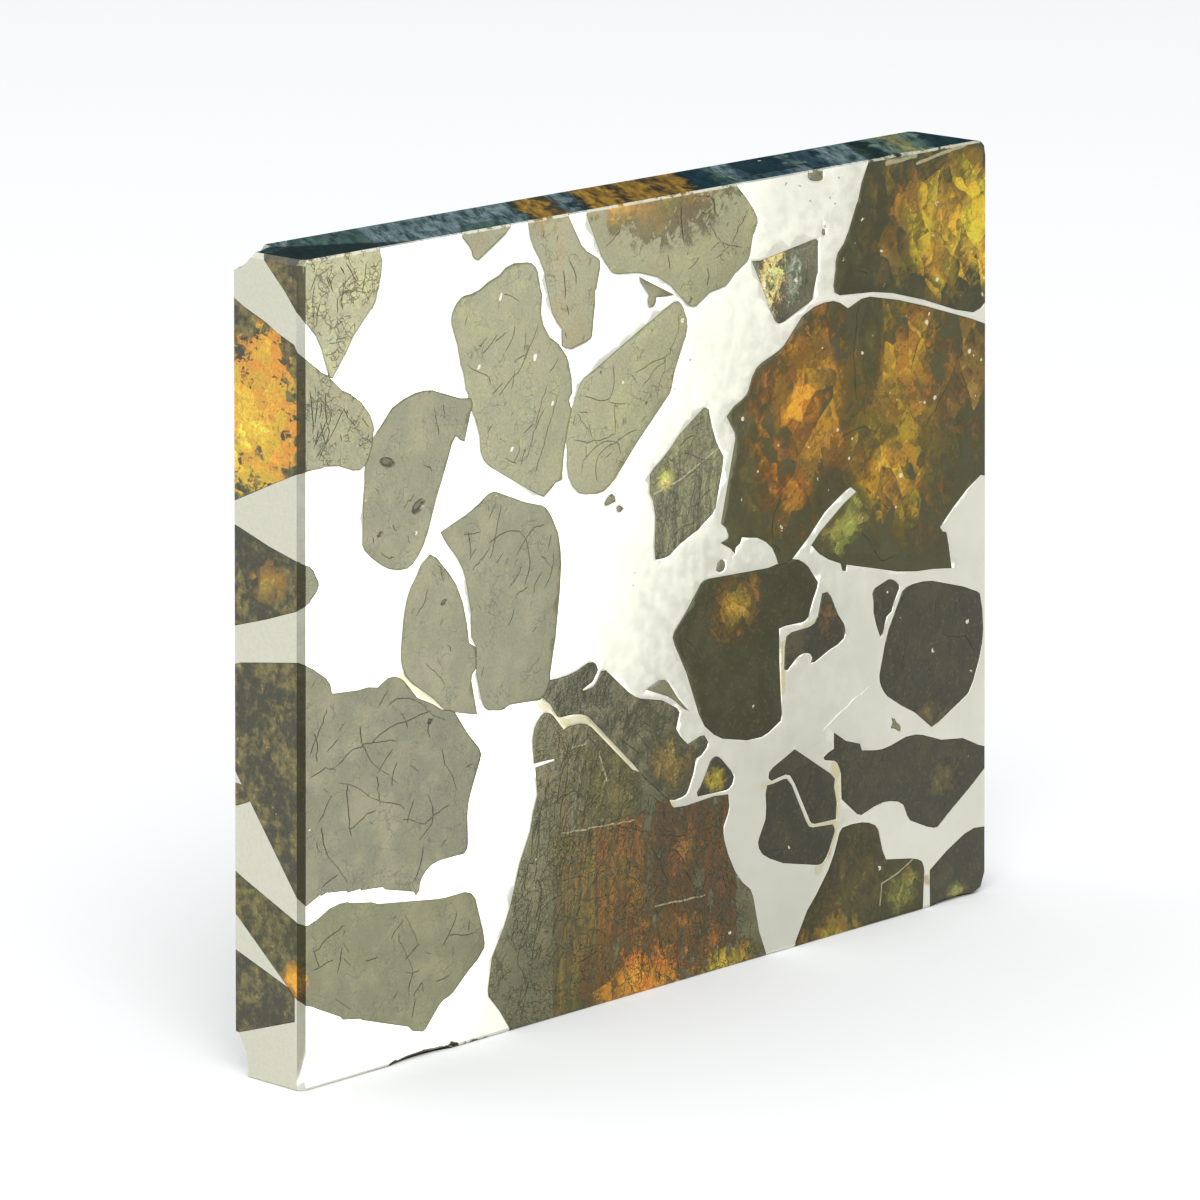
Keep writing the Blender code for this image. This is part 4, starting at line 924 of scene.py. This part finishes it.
set_look(
    "top_centre", body=pale(0.27), second=pale(0.34, 0.45), clear=0.35, gloss=0.3, cracks=0.25,
    lines=[[(3.4, 38.3), (4.4, 37.2), (5.2, 36.2)], [(6.2, 38.6), (5.0, 37.0), (3.6, 36.3)]],
    zones=[
        (0.8, 41.6, 7.5, 5.4, (0.15, 0.125, 0.035), 0.85),
        (-1.0, 40.8, 6.0, 4.0, (0.20, 0.135, 0.014), 0.95),
        (-1.8, 40.6, 4.6, 2.6, (0.34, 0.195, 0.006), 1.0), (-3.0, 40.1, 2.6, 1.3, (0.70, 0.37, 0.010), 1.0),
        (2.8, 40.8, 3.0, 2.0, (0.42, 0.27, 0.010), 0.9),
    ],
)
set_look("top_edge_small", body=pale(0.2), second=(0.3, 0.2, 0.07))
set_look(
    "top_second", body=pale(0.22), second=(0.32, 0.24, 0.1), heading=80,
    zones=[(-7.9, 41.0, 1.3, 2.4, YELLOW, 0.9)],
)
set_look(
    "top_left_corner", body=pale(0.34), second=pale(0.47, 0.42), flecks=0.35,
    fleck_colour=(0.08, 0.07, 0.035), cracks=1.4, web=0.8, web_scale=1.1, wave=0.02, tan=0.8, tan_scale=1.2,
    net=0.04, web_width=1.5, emboss=0.02,
)
set_look(
    "left_upper", body=pale(0.19), second=pale(0.27, 0.42), cracks=1.3, web=0.9, web_scale=1.4, heading=75,
    wave=0.015, tan=0.7, tan_scale=1.2, web_width=1.3, emboss=0.016, net=0.03, dim=0.8, flecks=0.45,
    fleck_colour=(0.07, 0.062, 0.03), facet=0.4,
    pockets=[
        ((-25.3, 1.0, 32.5), (2.0, 4.0, 6.0), ORANGE, 1.0),
        ((-25.3, 1.2, 32.4), (2.6, 4.6, 6.2), BRIGHT, 1.0),
        ((-25.3, 1.2, 32.0), (2.2, 3.4, 4.8), (1.0, 0.50, 0.03), 1.0),
    ],
)
set_look(
    "upper_left_large", body=pale(0.2), second=pale(0.27, 0.45), heading=55,
    lines=[
        [(-12.9, 34.4), (-12.5, 34.6), (-12.0, 34.9)],
        [(-9.6, 28.2), (-9.0, 29.6), (-8.5, 31.0), (-7.9, 32.2)],
        [(-8.9, 27.6), (-8.3, 29.0), (-7.7, 30.4), (-7.2, 31.6)], [(-10.3, 28.2), (-9.9, 29.4)],
    ],
    dots=[
        (-11.3, 36.6, 0.12), (-12.75, 33.4, 0.1), (-8.95, 33.3, 0.12), (-10.5, 29.0, 0.08),
        (-7.7, 30.9, 0.08),
    ],
)
set_look(
    "left_second", heading=80, cracks=0.0, net=0.05, web_scale=1.1,
    lines=[
        [(-15.8, 31.9), (-15.6, 31.1), (-15.5, 30.4)], [(-15.2, 32.0), (-15.1, 31.2)],
        [(-19.8, 28.6), (-19.4, 28.2)], [(-17.9, 27.3), (-17.0, 28.0)],
        [(-19.4, 25.4), (-18.9, 25.0), (-18.3, 25.1)], [(-17.7, 26.0), (-17.4, 25.4)],
        [(-18.7, 26.6), (-18.2, 26.3)], [(-20.0, 26.4), (-19.8, 25.8)],
        [(-16.6, 29.2), (-16.1, 29.0), (-15.9, 28.6)],
    ],
    pits=[
        (-18.95, 29.7, 0.55, 0.24, 0.13, -0.3), (-16.9, 27.25, 0.5, 0.3, 0.14, 0.5),
        (-19.5, 26.3, 0.2, 0.12, 0.08, 0.6),
    ],
)
set_look(
    "upper_leaf", body=pale(0.24), second=pale(0.3, 0.45),
    lines=[
        [(1.3, 34.2), (1.3, 33.2), (0.6, 32.2), (-0.6, 31.4), (-1.6, 30.6)],
        [(-6.2, 28.9), (-5.2, 28.6), (-4.0, 28.6), (-3.0, 28.8)],
        [(-6.0, 30.2), (-5.2, 29.2), (-4.2, 28.0)],
    ],
    pits=[(-4.3, 31.95, 0.1, 0.1, 0.04, 0.0), (-1.05, 29.95, 0.12, 0.12, 0.05, 0.0)],
)
set_look(
    "left_centre", heading=50,
    lines=[
        [(-13.8, 25.4), (-13.1, 25.3), (-12.5, 25.4)], [(-13.3, 23.5), (-12.6, 24.0), (-11.9, 24.6)],
        [(-10.3, 21.8), (-9.3, 22.1)],
    ],
)
set_look(
    "left_leaf", cracks=0.0,
    lines=[
        [(-15.9, 24.6), (-15.4, 23.9), (-15.3, 23.2)], [(-16.6, 19.6), (-15.6, 18.8), (-14.9, 17.9)],
        [(-17.2, 21.8), (-16.5, 22.6), (-16.1, 23.5)], [(-15.0, 20.2), (-14.5, 19.6)],
    ],
    pits=[(-15.2, 22.3, 0.26, 0.14, 0.08, 0.4)],
)
set_look(
    "left_large", body=pale(0.08, 0.5), second=pale(0.105, 0.44), cracks=0.3, net=0.06, web_scale=0.8,
    ripple=0.010, pocks=0.7,
    lines=[
        [(-22.6, 15.5), (-21.6, 16.1), (-20.5, 16.3), (-19.2, 16.2), (-18.0, 15.9)],
        [(-24.5, 16.0), (-23.6, 17.4), (-22.9, 18.8)], [(-24.6, 15.2), (-23.2, 15.6), (-22.2, 15.2)],
        [(-21.8, 14.8), (-21.7, 13.2), (-21.5, 11.6)], [(-19.8, 14.6), (-19.6, 13.0)],
        [(-18.2, 12.2), (-16.6, 11.6), (-14.6, 12.4)],
    ],
    pits=[(-16.2, 16.6, 0.2, 0.12, 0.08, 0.4)],
)
set_look(
    "left_lower", body=pale(0.07, 0.42), second=pale(0.09, 0.38), cracks=0.5, net=0.08, veil_blue=0.68,
    ripple=0.012, pocks=0.8, tan=0.3,
    lines=[[(-16.8, 3.9), (-16.7, 3.1)], [(-24.2, 6.6), (-23.0, 7.3), (-21.6, 7.8)]],
    pockets=[((-25.1, -1.9, 5.3), (0.9, 1.5, 1.3), ORANGE, 0.9)],
)
set_look(
    "lower_centre", body=(0.108, 0.110, 0.060), second=(0.145, 0.130, 0.062), clear=0.4, specks=0.06,
    heading=70, gloss=0.4, facet=0.5, cracks=2.2, tan=0.2, dim=0.2, veil_blue=0.62, ripple=0.03, web=1.0,
    web_scale=1.5, net=0.10, web_width=1.4, emboss=0.02,
    panels=[
        ((-7.7, -4.6, 0.0, 9.2), (0.25, 0.17, 0.025), 0.85),
        ((-4.6, -0.4, 0.0, 9.2), (0.32, 0.12, 0.010), 0.9),
        ((-0.4, 5.6, 1.0, 9.6), (0.16, 0.046, 0.003), 0.9),
        ((-6.2, -1.4, 9.2, 13.4), (0.20, 0.16, 0.04), 0.7),
    ],
    seams=[
        ((-7.1, 9.3), (-4.0, 9.1), 0.05), ((-4.0, 9.1), (-1.85, 9.0), 0.05),
        ((-0.4, 4.25), (3.3, 4.1), 0.05), ((-4.4, 12.9), (-3.9, 11.4), 0.05),
        ((-6.3, 13.5), (-5.4, 13.5), 0.05),
    ],
    stripes=[
        (-4.6, 6.0, 4.2, 8.0, (0.17, 0.085, 0.02), 0.9), (-5.6, 12.5, 3.2, 3.6, (0.16, 0.10, 0.03), 0.7),
    ],
    lines=[[(-2.6, 8.9), (-2.4, 7.2), (-2.5, 5.0), (-2.6, 2.4)], [(-6.4, 9.0), (-6.2, 6.0), (-6.3, 2.6)]],
    zones=[
        (1.6, 7.0, 2.4, 2.8, (0.24, 0.075, 0.006), 0.75),
        (-0.2, -0.2, 8.0, 6.0, (0.50, 0.165, 0.003), 0.95),
        (-0.8, -0.2, 6.6, 4.4, (0.72, 0.25, 0.004), 1.0), (5.2, 0.2, 3.4, 1.5, YELLOW, 0.9),
    ],
)
set_look(
    "cluster_upper", body=(0.03, 0.03, 0.016), second=(0.055, 0.05, 0.025), cracks=1.0, heading=-50,
    wave=0.03, gloss=0.4, tan=0.35, tan_scale=1.0, dim=0.2, ripple=0.030, veil_blue=0.68, web_scale=1.2,
    net=0.08, emboss=0.02, zones=[(1.0, 11.4, 2.8, 2.4, (0.20, 0.13, 0.02), 0.7)],
)
set_look(
    "centre_right", CLOUDY, wave=0.02, second=(0.03, 0.03, 0.014), facet=0.5,
    zones=[
        (5.6, 18.5, 3.2, 2.6, (0.27, 0.12, 0.006), 0.9), (5.4, 18.6, 2.0, 1.7, (0.36, 0.19, 0.010), 0.85),
    ],
)
set_look("centre_right_shard", DEEP, second=(0.08, 0.055, 0.02), zones=[(12.4, 16.6, 1.6, 1.4, BROWN, 0.9)])
set_look(
    "upper_right_triangle", body=pale(0.09), second=pale(0.14), clear=0.4, specks=0.4, gloss=0.4,
    flecks=0.5, wave=0.03, facet=0.22, tan=0.2, dim=0.1, emboss=0.02, fleck_colour=(0.04, 0.035, 0.015),
    zones=[
        (8.2, 35.4, 2.3, 4.2, (0.06, 0.055, 0.025), 1.0), (9.4, 34.8, 1.5, 2.6, (0.36, 0.38, 0.24), 0.9),
        (8.1, 35.4, 1.8, 3.6, (0.92, 0.74, 0.24), 1.0),
    ],
)
set_look(
    "centre_dark", body=pale(0.12, 0.42), second=pale(0.24, 0.4), clear=0.4, gloss=0.42, wave=0.06,
    heading=35, tan=0.3, tan_scale=1.0, web=0.45, web_scale=0.6, cracks=0.7, flecks=0.25, ripple=0.07,
    emboss=0.03, web_width=1.6, net=0.02, stripes=[(2.2, 21.5, 4.5, 6.0, (0.035, 0.033, 0.016), 0.85)],
    seams=[((-0.5, 25.3), (1.4, 25.75), 0.05), ((1.4, 25.75), (4.3, 26.95), 0.05)],
    zones=[
        (0.3, 25.9, 0.9, 0.8, (0.62, 0.56, 0.12), 0.9), (1.5, 21.8, 1.0, 0.9, (0.55, 0.50, 0.20), 0.8),
        (2.9, 21.0, 0.6, 0.9, (0.62, 0.55, 0.18), 0.8),
    ],
)
set_look("teardrop", DEEP, second=(0.05, 0.04, 0.015), zones=[(4.0, 10.0, 1.3, 1.1, YELLOW, 0.9)])
set_look(
    "bottom_right", CLOUDY, body=(0.028, 0.02, 0.009), second=(0.06, 0.04, 0.015),
    zones=[
        (14.0, 1.2, 5.6, 5.0, (0.07, 0.042, 0.006), 0.9), (13.4, 0.0, 4.6, 2.0, (0.28, 0.16, 0.010), 0.9),
        (18.4, 1.4, 2.2, 1.8, (0.26, 0.22, 0.03), 0.7),
    ],
    seams=[
        ((16.67, 0.9), (16.8, 2.0), 0.05), ((16.8, 2.0), (18.2, 2.4), 0.05),
        ((18.2, 2.4), (19.2, 2.9), 0.05),
    ],
)
set_look("bottom_right_corner", DEEP, zones=[(22.8, 0.4, 1.3, 0.9, GREEN, 0.9)])
set_look(
    "left_edge_small", cracks=0.6, pockets=[((-25.2, 0, 24.6), (1.4, 1.8, 1.5), (0.36, 0.22, 0.02), 0.7)],
)
set_look("right_small", DEEP, cracks=0.4, second=(0.05, 0.045, 0.02))
set_look("right_lower", DEEP, zones=[(20.6, 10.4, 2.6, 2.0, (0.10, 0.062, 0.012), 0.8)])
set_look("right_bowtie", DEEP, wave=0.02, zones=[(21.6, 6.6, 2.4, 1.6, (0.09, 0.06, 0.012), 0.8)])
set_look("lower_right_upper", DEEP, cracks=0.3)
set_look("lower_right_lower", DEEP)
set_look("top_edge_behind", DEEP)
METAL_LOOK = dict(cracks=0.0, heading=None, lines=[[(12.0, 11.0), (14.0, 12.0), (16.0, 12.9)]], pits=())


def dress_slice():
    """Gives every solid a finer copy with its own material."""
    for name, node in sorted(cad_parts.items()):
        metal = name == "metal"
        places = [v.co / MM for v in node.data.vertices]
        reaches_top = max(p.z for p in places) > HEIGHT - 0.5
        reaches_rim = reaches_top or any(at_rim(p.x, p.z) for p in places)
        look = METAL_LOOK if metal else dict(LOOKS.get(name, PLAIN), top=reaches_top, rim=reaches_rim)
        piece = polished(node, look, "metal" if metal else "crystal")
        piece.data.materials.append(make_metal() if metal else make_olivine(name, look))
        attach(piece, BODY)
        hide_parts(name)


# Where the front face mirrors the floor: how far along x for each step towards the camera's right
MIRROR_SLOPE = 1.194
FLOOR_LIGHT = (
    (-32.0, 3.0), (-17.0, 2.65), (-12.5, 1.6), (-9.0, 1.0), (-5.5, 0.83), (6.0, 0.87), (10.5, 0.82),
    (15.0, 1.02),
)


def make_card(name, corners, colour, strength, bands=()):
    """A sheet of light that only reflections see, and only from its face. Bands vary it along the front."""
    card = sheet(name, corners)
    s = Shade(name)
    s.tree.nodes.remove(s.shader)
    shine = s.node("Emission", {"Color": colour, "Strength": strength})
    if bands:
        x, y, z = (s.parts(s.position())[i] for i in range(3))
        along = s.minus(x, s.times(s.minus(FRONT, y), MIRROR_SLOPE))
        light = bands[0][1]
        for (start, before), (end, after) in zip(bands, bands[1:]):
            light = s.plus(light, s.fade(along, start, end, 0.0, after - before))
        s.feed(shine.inputs["Strength"], light)
    behind = s.node("NewGeometry").outputs["Backfacing"]
    both = s.node("MixShader", {0: behind, 1: shine.outputs[0]})
    s.tree.links.new(s.node("BsdfTransparent").outputs[0], both.inputs[2])
    out = [n for n in s.tree.nodes if n.type == "OUTPUT_MATERIAL"][0]
    s.tree.links.new(both.outputs[0], out.inputs["Surface"])
    card.data.materials.append(s.material)
    for kind in ("camera", "diffuse", "shadow", "transmission"):
        setattr(card, "visible_" + kind, False)


def make_lamp(name, place, size, energy):
    """A soft round lamp that shines at the slice."""
    light = bpy.data.lights.new(name, "AREA")
    light.shape = "DISK"
    light.size = size
    light.energy = energy
    lamp = placed(light)
    lamp.location = Vector(place) * MM
    lamp.rotation_euler = (Vector((0, 0, 20 * MM)) - lamp.location).to_track_quat("-Z", "Y").to_euler()


def make_stage():
    """Floor, light cards, a soft lamp and the pale surroundings."""
    scene = bpy.context.scene
    size = 3000.0
    floor = sheet("floor", ((-size, -size, 0), (size, -size, 0), (size, size, 0), (-size, size, 0)))
    s = Shade("floor")
    s.set(Base_Color=FLOOR, Roughness=0.6, Specular_IOR_Level=0.0)
    floor.data.materials.append(s.material)

    make_card("floor_card", ((-32, -2.6, 0.05), (140, -260, 0.05), (340, -180, 0.05), (60, -2.6, 0.05)),
              WARM_LIGHT, 1.0, FLOOR_LIGHT)
    make_card("wall_card", ((110, -270, 0), (110, -270, 130), (360, -175, 130), (360, -175, 0)),
              WARM_LIGHT, 0.95)
    make_card("chamfer_card", ((-26, -3, 0.06), (-230, -70, 0.06), (-120, -280, 0.06), (-30, -280, 0.06)),
              (0.55, 0.55, 0.50), 1.0)
    make_card("top_card", ((480, -60, 5), (480, -60, 420), (40, 292, 420), (40, 292, 5)),
              (0.012, 0.075, 0.09), 1.0)

    world = bpy.data.worlds.new("pale")
    scene.world = world
    world.use_nodes = True
    sky = world.node_tree.nodes["Background"]
    sky.inputs["Color"].default_value = (*SKY, 1.0)
    sky.inputs["Strength"].default_value = 1.02

    make_lamp("lamp_behind", (-180.0, 230.0, 420.0), 0.3, 0.3)
    make_lamp("lamp_front", (-560.0, -580.0, 800.0), 0.9, 9.5)
    scene.view_settings.view_transform = "Standard"


def make_camera():
    """The camera at the photograph's place."""
    back = Vector((math.sin(AZIMUTH) * math.cos(ELEVATION), -math.cos(AZIMUTH) * math.cos(ELEVATION),
                   math.sin(ELEVATION)))
    right = Vector((math.cos(AZIMUTH), math.sin(AZIMUTH), 0.0))
    up = back.cross(right)
    data = bpy.data.cameras.new("camera")
    data.lens = LENS
    data.sensor_width = 36.0
    data.clip_start = 0.01
    data.clip_end = 20.0
    camera = placed(data)
    aim = Vector((0.0, 0.0, AIM_HEIGHT)) + right * AIM_RIGHT + up * AIM_UP
    camera.location = (aim + back * DISTANCE) * MM
    camera.rotation_mode = "QUATERNION"
    camera.rotation_quaternion = (-back).to_track_quat("-Z", "Y")
    bpy.context.scene.camera = camera


dress_slice()
make_stage()
make_camera()
